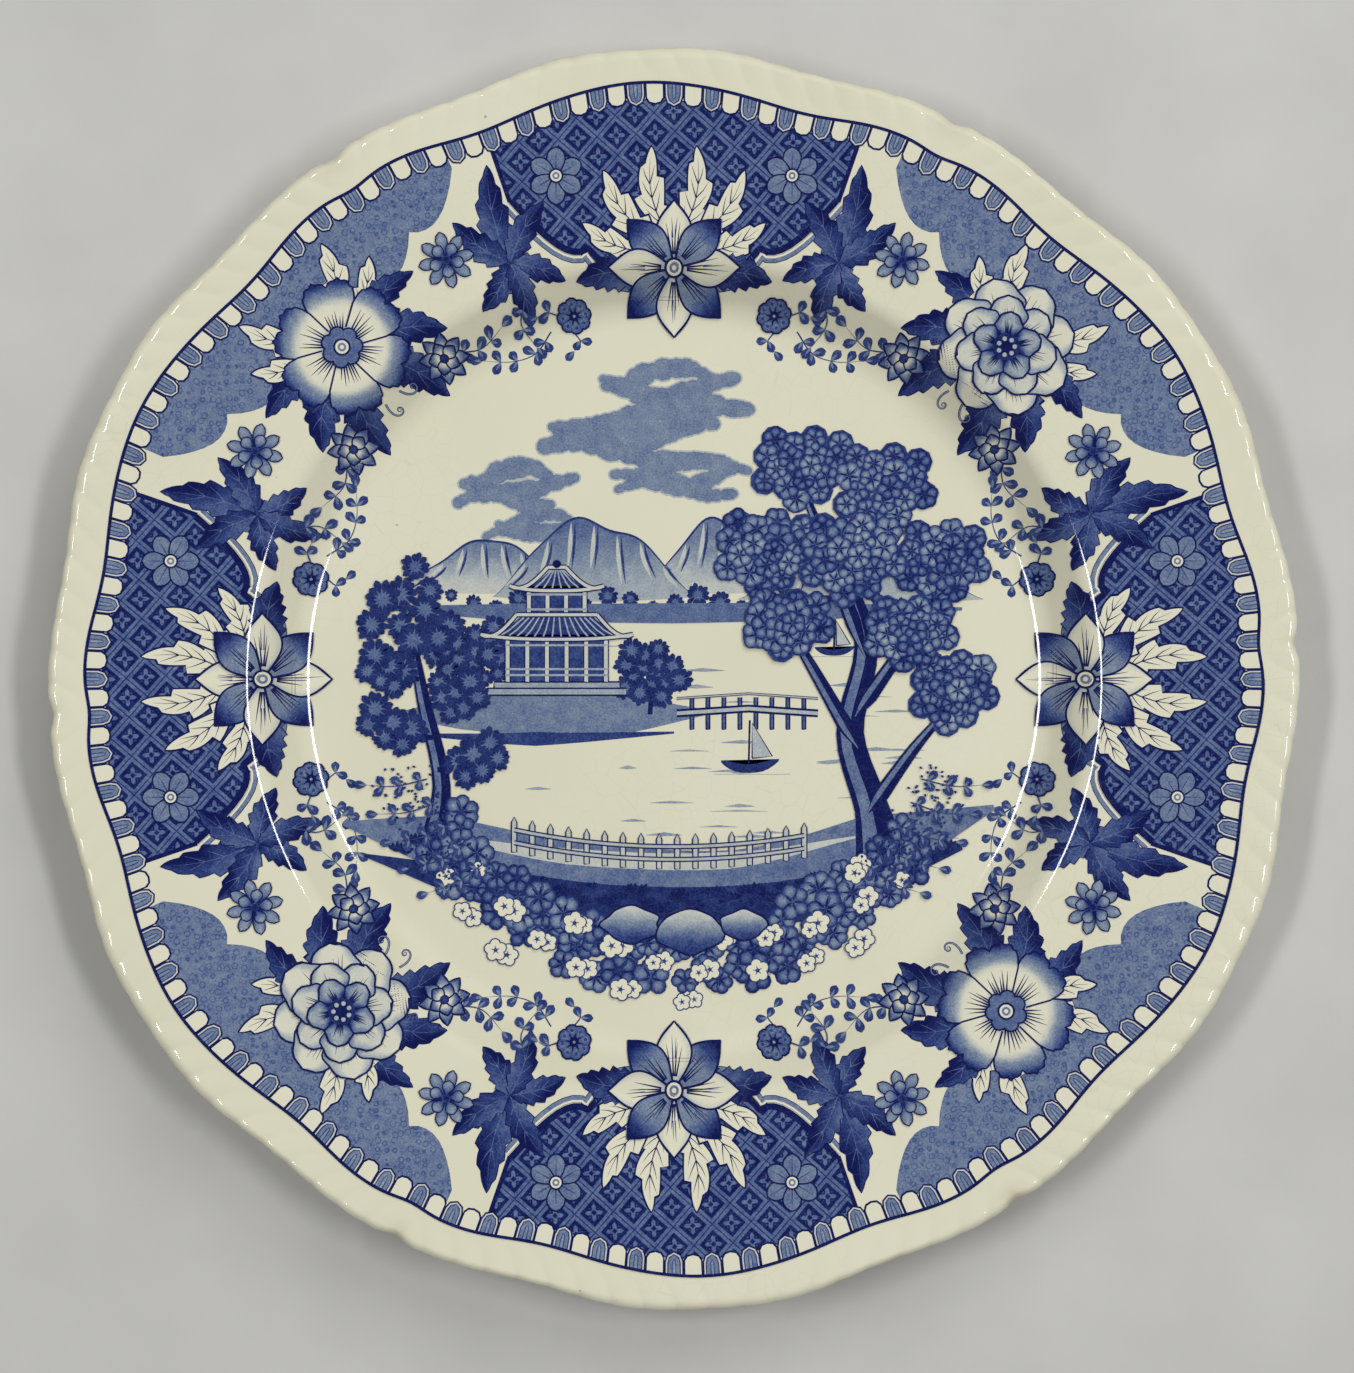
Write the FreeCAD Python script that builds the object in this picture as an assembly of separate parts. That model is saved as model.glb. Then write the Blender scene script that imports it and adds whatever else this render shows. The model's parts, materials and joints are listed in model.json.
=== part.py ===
"""A ten inch china dinner plate with a lobed, rope-moulded edge.

The plate is one piece of fired clay carrying the layers the pottery puts on it: two
layers of underglaze colour printed on the clay, and a clear glaze in two coats, parted
by the bare foot ring the plate was fired on. Each layer is a solid of its own, and each
lies on the very faces of the one below it. Millimetres, +Z up, origin on the table
under the middle of the plate.
"""

import math
import os

import FreeCAD
import Part

# Overall sizes of the clay
PLATE_DIAMETER = 253.4  # across the moulded edge, between its lobes and its hollows
WELL_FLOOR_RADIUS = 73.0
CAVETTO_SLOPE = 45.0  # degrees, the steep wall between well and rim
CAVETTO_WIDTH = 15.0  # from the edge of the flat floor to the start of the rim
CAVETTO_FOOT_RADIUS = 9.0  # rounding where the floor turns up
SHOULDER_RADIUS = 6.0  # rounding where the wall turns out into the rim
RIM_SLOPE = 8.0  # degrees
WELL_THICKNESS = 4.0
RIM_THICKNESS = 3.5
LIP_TAPER = 0.5  # how much thinner the clay is at the lip than along the rim
UNDER_BEND_RADIUS = 4.0  # rounding where the underside turns out below the rim

# Foot ring
FOOT_HEIGHT = 1.7  # from the table up to the level underside of the well
FOOT_INSET = 1.2  # from the edge of the well floor in to the middle of the foot
FOOT_WIDTH = 2.8  # across its bare lower face
FOOT_FLARE = 0.6  # how far each side leans out over the glazed height
BARE_FOOT_HEIGHT = 0.7  # the glaze stops this far above the table
FOOT_ROOT_RADIUS = 0.9  # rounding between the foot and the clay above it

# Moulded edge: a repeat is a lobe, a hollow and a small swelling, then a nick
LOBES = 6
LOBE_TURN = 33.3  # degrees, the first lobe from +X
MOULD_WIDTH = 9.5  # from the plain rim to the outermost edge
LOBE_WAVE = 0.69  # depth of the main wave of the outline
HALF_WAVE = 0.76  # depth of the wave of twice that count
THIRD_WAVE = 0.26
FOURTH_WAVE = 0.23
NICK_DEPTH = 0.9
NICK_HALF_ANGLE = 1.3  # degrees
ROPE_STRANDS_PER_HALF_LOBE = 10
ROPE_DEPTH = 0.42
ROPE_LEAN = 2.4  # degrees a strand leans over from the edge to the plain rim
LEAN_CURVE = 1.35  # above 1 the strands bend over more towards the plain rim

# Layers
GLAZE_THICKNESS = 0.30
PRINT_THICKNESS = 0.25
BORDER_PRINT_GAP = 0.5  # plain clay between the border print and each end of the flat rim
CENTRE_PRINT_INSET = 1.5  # plain clay between the centre print and the edge of the floor

# Fineness of the moulded surface
SAMPLES_PER_STRAND = 8
LIP_STEPS = 6  # rows round half the lip
MOULD_ROWS = (0.0, 0.1, 0.22, 0.34, 0.46, 0.58, 0.7, 0.81, 0.91)
UNDER_ROWS = (0.91, 0.75, 0.5, 0.25, 0.0)

# Sizes that follow from those above
UNDERSIDE_HEIGHT = FOOT_HEIGHT  # the well's level underside above the table
WELL_FLOOR_HEIGHT = UNDERSIDE_HEIGHT + WELL_THICKNESS  # its clay floor above the table
EDGE_RADIUS = PLATE_DIAMETER / 2
MOULD_START = EDGE_RADIUS - MOULD_WIDTH
SHOULDER_START = WELL_FLOOR_RADIUS + CAVETTO_WIDTH
FOOT_CENTRE = WELL_FLOOR_RADIUS - FOOT_INSET
STRAND_ANGLE = 180.0 / LOBES / ROPE_STRANDS_PER_HALF_LOBE
SAMPLES_ROUND = 2 * LOBES * ROPE_STRANDS_PER_HALF_LOBE * SAMPLES_PER_STRAND
UP = FreeCAD.Vector(0, 0, 1)


class Track:
    """A smooth line across the plate's section, kept as points with outward normals."""

    def __init__(self):
        self.pieces = []

    def line(self, start, end, normal):
        """Add a straight stretch between two (radius, height) points."""
        self.pieces.append([(start, normal), (end, normal)])
        return self

    def arc(self, centre, radius, first, last, side):
        """Add an arc about centre from one angle to another, both in degrees.

        side is 1 where the normal points away from the centre, and -1 towards it."""
        knots = []
        for angle in (first, (first + last) / 2, last):
            way = direction(angle)
            place = (centre[0] + radius * way[0], centre[1] + radius * way[1])
            knots.append((place, (side * way[0], side * way[1])))
        self.pieces.append(knots)
        return self

    def faces(self, lift):
        """Spin each stretch, moved out along its normals by lift, into a face."""
        return [spun(*[moved(point, normal, lift) for point, normal in piece])
                for piece in self.pieces]

    def end(self, index, lift):
        """The first (0) or last (-1) point, moved out by lift."""
        piece = self.pieces[index]
        point, normal = piece[index]
        return moved(point, normal, lift)


def direction(angle):
    """The unit (radius, height) vector at an angle in degrees from the outward level."""
    turn = math.radians(angle)
    return math.cos(turn), math.sin(turn)


def moved(point, normal, distance):
    """A (radius, height) point shifted along a normal."""
    return point[0] + distance * normal[0], point[1] + distance * normal[1]


def spun(*points):
    """The face swept by a line through two points, or an arc through three, about Z."""
    ends = [FreeCAD.Vector(max(r, 0.0), 0, z) for r, z in points]
    if len(ends) == 2:
        edge = Part.makeLine(*ends)
    else:
        edge = Part.Arc(*ends).toShape()
    return edge.revolve(FreeCAD.Vector(0, 0, 0), UP, 360)


def rim_height(radius):
    """Height of the clay's upper face on the straight part of the rim."""
    slope = math.radians(RIM_SLOPE)
    return shoulder_end()[1] + (radius - shoulder_end()[0]) * math.tan(slope)


def cavetto_parts():
    """The arcs' centres and the ends of the steep wall, from the sizes at the top."""
    steep = math.radians(CAVETTO_SLOPE)
    flat = math.radians(RIM_SLOPE)
    low_centre = (WELL_FLOOR_RADIUS, WELL_FLOOR_HEIGHT + CAVETTO_FOOT_RADIUS)
    wall_foot = (low_centre[0] + CAVETTO_FOOT_RADIUS * math.sin(steep),
                 low_centre[1] - CAVETTO_FOOT_RADIUS * math.cos(steep))
    bend_width = SHOULDER_RADIUS * (math.sin(steep) - math.sin(flat))
    wall_width = SHOULDER_START - wall_foot[0] - bend_width
    wall_head = (wall_foot[0] + wall_width, wall_foot[1] + wall_width * math.tan(steep))
    high_centre = (wall_head[0] + SHOULDER_RADIUS * math.sin(steep),
                   wall_head[1] - SHOULDER_RADIUS * math.cos(steep))
    return low_centre, wall_foot, wall_head, high_centre


def shoulder_end():
    """Where the shoulder's rounding meets the straight rim."""
    high_centre = cavetto_parts()[3]
    way = direction(90 + RIM_SLOPE)
    return moved(high_centre, way, SHOULDER_RADIUS)


def floor_track(inner, outer):
    """The flat floor of the well between two radii."""
    return Track().line((inner, WELL_FLOOR_HEIGHT), (outer, WELL_FLOOR_HEIGHT), (0, 1))


def cavetto_track():
    """The wall from the flat floor up and out to the straight rim."""
    low_centre, wall_foot, wall_head, high_centre = cavetto_parts()
    track = Track()
    track.arc(low_centre, CAVETTO_FOOT_RADIUS, -90, CAVETTO_SLOPE - 90, -1)
    track.line(wall_foot, wall_head, direction(90 + CAVETTO_SLOPE))
    track.arc(high_centre, SHOULDER_RADIUS, 90 + CAVETTO_SLOPE, 90 + RIM_SLOPE, 1)
    return track


def rim_track(inner, outer):
    """The straight rim between two radii."""
    return Track().line((inner, rim_height(inner)), (outer, rim_height(outer)),
                        direction(90 + RIM_SLOPE))


def under_track():
    """The underside, from the bare height of the foot out to the moulded edge."""
    slope = CAVETTO_SLOPE
    low_centre, _, _, high_centre = cavetto_parts()
    side = foot_side_normal()
    foot_line = (FOOT_CENTRE + FOOT_WIDTH / 2, 0.0)
    along = (-side[1], side[0])
    top = moved(foot_line, along, BARE_FOOT_HEIGHT / along[1])
    corner_centre_z = UNDERSIDE_HEIGHT - FOOT_ROOT_RADIUS
    root_start = moved(foot_line, along,
                       (corner_centre_z - FOOT_ROOT_RADIUS * side[1]) / along[1])
    root_centre = moved(root_start, side, FOOT_ROOT_RADIUS)
    # the wall's lower face is the upper face moved in by the well's thickness
    normal = direction(slope - 90)
    wall_point = moved(cavetto_parts()[1], normal, WELL_THICKNESS)
    rim_normal = direction(RIM_SLOPE - 90)
    rim_point = moved(shoulder_end(), rim_normal, RIM_THICKNESS)
    # the wall's lower face meets the level underside, and the rim's lower face
    reach = (UNDERSIDE_HEIGHT - wall_point[1]) / math.tan(math.radians(slope))
    knee = (wall_point[0] + reach, UNDERSIDE_HEIGHT)
    bend_radius = CAVETTO_FOOT_RADIUS / 2
    knee_run = bend_radius * math.tan(math.radians(slope / 2))
    knee_start = (knee[0] - knee_run, UNDERSIDE_HEIGHT)
    knee_centre = (knee_start[0], UNDERSIDE_HEIGHT + bend_radius)
    knee_end = moved(knee_centre, normal, bend_radius)
    run, rise = math.tan(math.radians(RIM_SLOPE)), math.tan(math.radians(slope))
    elbow_r = ((rim_point[1] - rim_point[0] * run) - (knee[1] - knee[0] * rise)) / (rise - run)
    elbow = (elbow_r, knee[1] + (elbow_r - knee[0]) * rise)
    half = math.radians((slope - RIM_SLOPE) / 2)
    elbow_run = UNDER_BEND_RADIUS * math.tan(half)
    elbow_start = moved(elbow, direction(slope), -elbow_run)
    elbow_end = moved(elbow, direction(RIM_SLOPE), elbow_run)
    elbow_centre = moved(elbow_start, normal, UNDER_BEND_RADIUS)
    track = Track()
    track.line(top, root_start, side)
    angle = math.degrees(math.atan2(side[1], side[0]))
    track.arc(root_centre, FOOT_ROOT_RADIUS, 180 + angle, 90, -1)
    track.line((root_centre[0], UNDERSIDE_HEIGHT), knee_start, (0, -1))
    track.arc(knee_centre, bend_radius, -90, slope - 90, 1)
    track.line(knee_end, elbow_start, normal)
    track.arc(elbow_centre, UNDER_BEND_RADIUS, slope + 90, RIM_SLOPE + 90, -1)
    reach = (MOULD_START - elbow_end[0]) * run
    track.line(elbow_end, (MOULD_START, elbow_end[1] + reach), rim_normal)
    return track


def foot_side_normal():
    """The outward normal of the foot ring's outer side, which leans out as it rises."""
    length = math.hypot(FOOT_FLARE, FOOT_HEIGHT)
    return FOOT_HEIGHT / length, -FOOT_FLARE / length


def recess_track():
    """The hollow inside the foot ring, from its middle out and down to the bare height."""
    side = foot_side_normal()
    inward = (-side[0], side[1])
    foot_line = (FOOT_CENTRE - FOOT_WIDTH / 2, 0.0)
    along = (side[1], side[0])
    top = moved(foot_line, along, BARE_FOOT_HEIGHT / along[1])
    corner_centre_z = UNDERSIDE_HEIGHT - FOOT_ROOT_RADIUS
    root_start = moved(foot_line, along,
                       (corner_centre_z - FOOT_ROOT_RADIUS * side[1]) / along[1])
    root_centre = moved(root_start, inward, FOOT_ROOT_RADIUS)
    angle = math.degrees(math.atan2(-inward[1], -inward[0]))
    track = Track()
    track.line((0.0, UNDERSIDE_HEIGHT), (root_centre[0], UNDERSIDE_HEIGHT), (0, -1))
    track.arc(root_centre, FOOT_ROOT_RADIUS, 90, angle, -1)
    track.line(root_start, top, inward)
    return track


def lobe_offset(angle):
    """How far the outline stands outside its mean circle, angle in degrees from a lobe."""
    turn = math.radians(LOBES * angle)
    wave = LOBE_WAVE * math.cos(turn)
    wave += HALF_WAVE * math.cos(2 * turn)
    wave -= THIRD_WAVE * math.cos(3 * turn)
    wave -= FOURTH_WAVE * math.cos(4 * turn)
    return wave


def from_lobe(angle):
    """Degrees from the nearest lobe's middle, 0 to half a repeat."""
    repeat = 360.0 / LOBES
    return abs((angle + repeat / 2) % repeat - repeat / 2)


def nick(angle):
    """The share, 0 to 1, of the nick's depth at an angle."""
    gap = 180.0 / LOBES - from_lobe(angle)
    return math.exp(-((gap / NICK_HALF_ANGLE) ** 2))


def rope(angle, outward):
    """Height share of the strands, where outward runs from 0 at the rim to 1 at the lip."""
    lean = ROPE_LEAN * (1 - outward) ** LEAN_CURVE
    place = (from_lobe(angle) - lean) / STRAND_ANGLE
    return abs(math.sin(math.pi * place)) ** 0.7 - 0.6


def smooth(value):
    """An even ramp from 0 to 1 that starts and ends level."""
    value = min(max(value, 0.0), 1.0)
    return value * value * (3 - 2 * value)


def mould_section():
    """Rows round the moulded edge: (point, normal, outward share, strength of the strands)."""
    run = math.tan(math.radians(RIM_SLOPE))
    top_normal = direction(90 + RIM_SLOPE)
    under_end = under_track().end(-1, 0)
    under_normal = direction(RIM_SLOPE - 90)
    start_gap = rim_height(MOULD_START) - under_end[1]
    lip_radius = (start_gap - LIP_TAPER) / 2
    lip_start = EDGE_RADIUS - lip_radius
    span = lip_start - MOULD_START
    rows = []
    for share in MOULD_ROWS:
        radius = MOULD_START + share * span
        rows.append(((radius, rim_height(radius)), top_normal, share * span, smooth(3 * share)))
    lip_centre = (lip_start, rim_height(lip_start) - lip_radius)
    for step in range(2 * LIP_STEPS + 1):
        way = direction(90 - 90 * step / LIP_STEPS)
        point = moved(lip_centre, way, lip_radius)
        rows.append((point, way, point[0] - MOULD_START, max(way[1], 0.0) * 0.6 + 0.4))
    for share in UNDER_ROWS:
        radius = MOULD_START + share * span
        height = under_end[1] + (radius - MOULD_START) * run + LIP_TAPER * share
        rows.append(((radius, height), under_normal, share * span, 0.35 * smooth(2 * share)))
    return rows


def mould_face(lift):
    """The face round the moulded edge, from the plain rim over the lip to the underside."""
    step = 2 * math.pi / SAMPLES_ROUND
    # control points of an even cubic spline stand this much outside the curve they make
    stand_out = 3 / (2 + math.cos(step))
    rows = mould_section()
    poles = []
    for index in range(SAMPLES_ROUND):
        angle = 360.0 * index / SAMPLES_ROUND
        turn = math.radians(angle)
        dent = nick(angle)
        column = []
        for (radius, height), normal, reach, strength in rows:
            outward = min(reach / MOULD_WIDTH, 1.0)
            place = moved((radius, height), normal, lift)
            spread = outward * (lobe_offset(angle) - NICK_DEPTH * dent * outward)
            swell = ROPE_DEPTH * strength * rope(angle, outward)
            place = moved(place, normal, swell)
            out = (place[0] + spread) * stand_out
            column.append(FreeCAD.Vector(out * math.cos(turn), out * math.sin(turn), place[1]))
        poles.append(column)
    knots_round = [float(index) for index in range(SAMPLES_ROUND + 1)]
    knots_out = [float(index) for index in range(len(rows) - 2)]
    ends_out = [4] + [1] * (len(knots_out) - 2) + [4]
    surface = Part.BSplineSurface()
    surface.buildFromPolesMultsKnots(poles, [1] * len(knots_round), ends_out,
                                     knots_round, knots_out, True, False, 3, 3)
    return surface.toShape()


def closed(faces):
    """One solid from faces that meet edge to edge."""
    shell = Part.makeShell(faces)
    shell.sewShape()
    solid = Part.Solid(shell)
    if solid.Volume < 0:
        solid.reverse()
    return solid


def border_span():
    """The radii between which the border is printed."""
    return shoulder_end()[0] + BORDER_PRINT_GAP, MOULD_START - BORDER_PRINT_GAP


def centre_span():
    """The radius out to which the centre is printed."""
    return WELL_FLOOR_RADIUS - CENTRE_PRINT_INSET


def layer(track, lift):
    """The solid between a track and the same track moved by lift, closed at both ends."""
    walls = []
    for index in (0, -1):
        walls.append(spun(track.end(index, 0), track.end(index, lift)))
    return closed(track.faces(0) + track.faces(lift) + [w for w in walls if w.Area > 1e-6])


def disc_layer(track, lift):
    """As layer, for a track that starts on the axis and so has only an outer wall."""
    wall = spun(track.end(-1, 0), track.end(-1, lift))
    return closed(track.faces(0) + track.faces(lift) + [wall])


def upper_tracks():
    """The stretches of the upper face in order from the axis to the moulded edge."""
    inner, outer = border_span()
    printed = centre_span()
    return [floor_track(0.0, printed), floor_track(printed, WELL_FLOOR_RADIUS), cavetto_track(),
            rim_track(shoulder_end()[0], inner), rim_track(inner, outer),
            rim_track(outer, MOULD_START)]


def biscuit_body():
    """The fired clay, with the shallow beds the printed colour lies in."""
    inner, outer = border_span()
    centre_floor, floor_edge, cavetto, rim_start, rim_bed, rim_end = upper_tracks()
    faces = floor_edge.faces(0) + cavetto.faces(0) + rim_start.faces(0) + rim_end.faces(0)
    for bed in (centre_floor, rim_bed):
        faces += bed.faces(-PRINT_THICKNESS)
    faces.append(spun(centre_floor.end(-1, -PRINT_THICKNESS), centre_floor.end(-1, 0)))
    for index in (0, -1):
        faces.append(spun(rim_bed.end(index, -PRINT_THICKNESS), rim_bed.end(index, 0)))
    under, recess = under_track(), recess_track()
    faces += under.faces(0) + recess.faces(0)
    faces.append(mould_face(0))
    outer_foot = (FOOT_CENTRE + FOOT_WIDTH / 2, 0.0)
    inner_foot = (FOOT_CENTRE - FOOT_WIDTH / 2, 0.0)
    faces.append(spun(under.end(0, 0), outer_foot))
    faces.append(spun(outer_foot, inner_foot))
    faces.append(spun(inner_foot, recess.end(-1, 0)))
    return closed(faces)


def face_glaze():
    """The coat over the whole upper face, round the lip and down the back to the foot."""
    faces = []
    for track in upper_tracks():
        faces += track.faces(0)
    whole = [floor_track(0.0, WELL_FLOOR_RADIUS), cavetto_track(),
             rim_track(shoulder_end()[0], MOULD_START)]
    under = under_track()
    for track in whole:
        faces += track.faces(GLAZE_THICKNESS)
    faces += under.faces(0) + under.faces(GLAZE_THICKNESS)
    faces += [mould_face(0), mould_face(GLAZE_THICKNESS)]
    faces.append(spun(under.end(0, 0), under.end(0, GLAZE_THICKNESS)))
    return closed(faces)


def main():
    """Build every layer and write one STEP file for each."""
    inner, outer = border_span()
    solids = {
        "biscuit_body": biscuit_body(),
        "face_glaze": face_glaze(),
        "foot_glaze": disc_layer(recess_track(), GLAZE_THICKNESS),
        "border_print": layer(rim_track(inner, outer), -PRINT_THICKNESS),
        "centre_print": disc_layer(floor_track(0.0, centre_span()), -PRINT_THICKNESS),
    }
    os.makedirs("parts", exist_ok=True)
    for name, solid in solids.items():
        solid.rotate(FreeCAD.Vector(0, 0, 0), UP, LOBE_TURN)
        solid.exportStep(f"parts/{name}.step")
        box = solid.BoundBox
        print(name, solid.ShapeType, solid.isValid(), solid.isClosed(), round(solid.Volume, 1),
              [round(v, 2) for v in (box.XMin, box.XMax, box.YMin, box.YMax, box.ZMin, box.ZMax)])


main()
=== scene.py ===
"""Looks of a blue printed china dinner plate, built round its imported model.

The ware is spun from its section and its edge is lobed and rope-moulded by formula. The
printed pattern is laid on the glaze as thin inked shapes, each a warped grid or a filled
outline that carries how deep its blue is, and the shapes stack in the order they are drawn.
The pattern is this script's own: flowers, leaves and a lake view of no real place.
"""
import json
import logging
import math
import random
from contextlib import contextmanager
from dataclasses import dataclass
from enum import Enum
from typing import Callable, Iterator, Sequence, Union

import bmesh
import bpy
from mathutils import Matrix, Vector


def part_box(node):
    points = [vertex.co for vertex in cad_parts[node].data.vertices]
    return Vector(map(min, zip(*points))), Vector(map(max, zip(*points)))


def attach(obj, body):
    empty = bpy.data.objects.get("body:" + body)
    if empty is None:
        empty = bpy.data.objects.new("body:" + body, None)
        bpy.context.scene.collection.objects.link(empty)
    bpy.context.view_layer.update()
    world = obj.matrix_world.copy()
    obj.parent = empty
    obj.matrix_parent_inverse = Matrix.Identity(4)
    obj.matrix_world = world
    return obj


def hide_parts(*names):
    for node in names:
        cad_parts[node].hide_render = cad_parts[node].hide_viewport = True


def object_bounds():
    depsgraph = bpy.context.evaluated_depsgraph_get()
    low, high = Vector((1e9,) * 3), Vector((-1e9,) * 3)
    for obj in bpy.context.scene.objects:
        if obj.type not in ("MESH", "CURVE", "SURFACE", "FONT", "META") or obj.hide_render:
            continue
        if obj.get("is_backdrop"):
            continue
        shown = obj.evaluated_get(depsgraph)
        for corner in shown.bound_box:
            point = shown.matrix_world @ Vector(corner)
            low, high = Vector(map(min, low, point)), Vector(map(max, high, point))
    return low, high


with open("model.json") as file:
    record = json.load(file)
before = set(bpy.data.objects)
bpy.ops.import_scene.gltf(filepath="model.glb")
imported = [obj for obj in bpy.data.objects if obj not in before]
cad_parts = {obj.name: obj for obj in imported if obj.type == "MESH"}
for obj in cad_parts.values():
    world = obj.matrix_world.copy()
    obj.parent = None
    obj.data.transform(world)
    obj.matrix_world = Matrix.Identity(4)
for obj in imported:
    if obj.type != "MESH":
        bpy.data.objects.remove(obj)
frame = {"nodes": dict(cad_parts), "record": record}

log = logging.getLogger("plate")
MM = 0.001
Point = tuple[float, float]
Tree = bpy.types.NodeTree
Socket = bpy.types.NodeSocket
Feed = Union[Socket, float, tuple]


class Tone(float, Enum):
    """How deep the printed blue is, from bare glaze to the darkest line."""

    PAPER = 0.0
    MIST = 0.22
    WASH = 0.38
    SOFT = 0.5
    MID = 0.62
    STRONG = 0.8
    DEEP = 1.0


class Taper(Enum):
    """Which ends of a stroke run out to a point."""

    NONE = 0
    END = 1
    BOTH = 2


# ---------------------------------------------------------------- the ware's surface


@dataclass(frozen=True)
class WareSizes:
    """The glazed surface, in millimetres and degrees."""

    floor_radius: float = 73.0
    cavetto_width: float = 15.0
    cavetto_slope: float = 45.0
    foot_arc: float = 8.7
    shoulder_arc: float = 6.3
    rim_slope: float = 8.0
    mould_width: float = 9.5
    mean_radius: float = 127.0
    lip_thickness: float = 3.6
    rim_thickness: float = 4.1
    wall_thickness: float = 4.6
    foot_reach: float = 0.75
    lobes: int = 6
    lobe_turn: float = 33.3
    strands_per_half_lobe: int = 10
    rope_depth: float = 0.42
    rope_lean: float = 2.4
    line_radius: float = 119.2
    edge_waves: tuple = ((1, 0.69), (2, 0.76), (3, -0.26), (4, -0.23))  # (per lobe, height)
    edge_nick: Point = (0.9, 1.3)  # depth, half width in degrees
    line_waves: tuple = ((1, 0.72), (2, 1.26), (4, -0.2), (5, 0.12))
    line_nick: Point = (0.7, 2.2)
    stain_nick: float = 1.6
    lean_curve: float = 1.35
    strand_roundness: float = 0.7


class Surface:
    """Heights, normals and outline of the glazed plate."""

    def __init__(self, sizes: WareSizes, floor_height: float) -> None:
        """Work the section out from the sizes.

        Args:
            sizes: radii, slopes and mouldings.
            floor_height: level of the well's glazed floor in millimetres.
        """
        self.sizes = sizes
        self.floor_height = floor_height
        self.section = self._section()

    def _section(self) -> list[Point]:
        """Points of the upper face, from the axis to the start of the moulded edge."""
        s = self.sizes
        steep, flat = math.radians(s.cavetto_slope), math.radians(s.rim_slope)
        points = [(0.0, self.floor_height), (s.floor_radius, self.floor_height)]
        arc_steps = 14
        for step in range(1, arc_steps + 1):
            turn = steep * step / arc_steps
            points.append((s.floor_radius + s.foot_arc * math.sin(turn),
                           self.floor_height + s.foot_arc * (1 - math.cos(turn))))
        low_r, low_z = points[-1]
        bend = s.shoulder_arc * (math.sin(steep) - math.sin(flat))
        run = s.floor_radius + s.cavetto_width - low_r - bend
        points.append((low_r + run, low_z + run * math.tan(steep)))
        top_r, top_z = points[-1]
        for step in range(1, arc_steps + 1):
            turn = steep + (flat - steep) * step / arc_steps
            points.append((top_r + s.shoulder_arc * (math.sin(steep) - math.sin(turn)),
                           top_z + s.shoulder_arc * (math.cos(turn) - math.cos(steep))))
        last_r, last_z = points[-1]
        end = s.mean_radius - s.mould_width
        points.append((end, last_z + (end - last_r) * math.tan(flat)))
        return points

    def height(self, radius: float) -> float:
        """Level of the upper face at a radius, the rim's slope carried on outward.

        Args:
            radius: distance from the axis.

        Returns:
            The level in millimetres.
        """
        points = self.section
        if radius >= points[-1][0]:
            slope = math.tan(math.radians(self.sizes.rim_slope))
            return points[-1][1] + (radius - points[-1][0]) * slope
        low = 0
        high = len(points) - 1
        while high - low > 1:
            mid = (low + high) // 2
            if points[mid][0] <= radius:
                low = mid
            else:
                high = mid
        (r0, z0), (r1, z1) = points[low], points[high]
        return z0 + (z1 - z0) * (radius - r0) / (r1 - r0)

    def normal(self, x: float, y: float) -> Vector:
        """Unit normal of the upper face over a point of the plan.

        Args:
            x: across the plan.
            y: up the plan.

        Returns:
            The unit normal.
        """
        radius = math.hypot(x, y)
        reach = 0.25
        rise = self.height(radius + reach) - self.height(max(radius - reach, 0.0))
        slope = rise / (2 * reach)
        if radius < 1e-6:
            return Vector((0, 0, 1))
        return Vector((-slope * x / radius, -slope * y / radius, 1)).normalized()

    def from_lobe(self, angle: float) -> float:
        """Degrees between an angle of the plan and the nearest lobe's middle.

        Args:
            angle: angle on the plan in degrees.

        Returns:
            The degrees.
        """
        repeat = 360.0 / self.sizes.lobes
        away = angle - self.sizes.lobe_turn
        return abs((away + repeat / 2) % repeat - repeat / 2)

    def nick(self, angle: float, half: float) -> float:
        """The share, 0 to 1, of a nick between two lobes that is half degrees to each side."""
        gap = 180.0 / self.sizes.lobes - self.from_lobe(angle)
        return math.exp(-(gap / half) ** 2)

    def _wave(self, angle: float, waves: Sequence[Point], nick: Point) -> float:
        """How far a lobed outline stands outside its mean circle.

        Args:
            angle: angle on the plan in degrees.
            waves: (number to a lobe, height) of each wave.
            nick: depth and half width of the nicks.

        Returns:
            The distance in millimetres.
        """
        turn = math.radians(self.sizes.lobes * self.from_lobe(angle))
        swell = sum(height * math.cos(number * turn) for number, height in waves)
        return swell - nick[0] * self.nick(angle, nick[1])

    def edge_wave(self, angle: float) -> float:
        """How far the edge stands outside its mean circle."""
        return self._wave(angle, self.sizes.edge_waves, self.sizes.edge_nick)

    def line_wave(self, angle: float) -> float:
        """How far the printed line stands outside its own mean circle."""
        return self._wave(angle, self.sizes.line_waves, self.sizes.line_nick)

    def line_radius(self, angle: float) -> float:
        """Radius of the printed blue line that runs round inside the moulded edge."""
        return self.sizes.line_radius + self.line_wave(angle)

    def rope(self, angle: float, outward: float) -> float:
        """Height share of the rope strands, outward from 0 at the rim to 1 at the lip.

        Args:
            angle: angle on the plan in degrees.
            outward: share of the way from rim to lip.

        Returns:
            The share, from -1 to 0.
        """
        s = self.sizes
        lean = s.rope_lean * (1 - outward) ** s.lean_curve
        strand = 180.0 / s.lobes / s.strands_per_half_lobe
        place = (self.from_lobe(angle) - lean) / strand
        return abs(math.sin(math.pi * place)) ** s.strand_roundness - 1.0


def polar(radius: float, degrees: float) -> Point:
    """The plan point at a radius and an angle counted from +X towards +Y."""
    turn = math.radians(degrees)
    return radius * math.cos(turn), radius * math.sin(turn)


def out_from(start: Point, reach: float, degrees: float) -> Point:
    """The plan point at a reach and angle from a start."""
    x, y = polar(reach, degrees)
    return start[0] + x, start[1] + y


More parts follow.
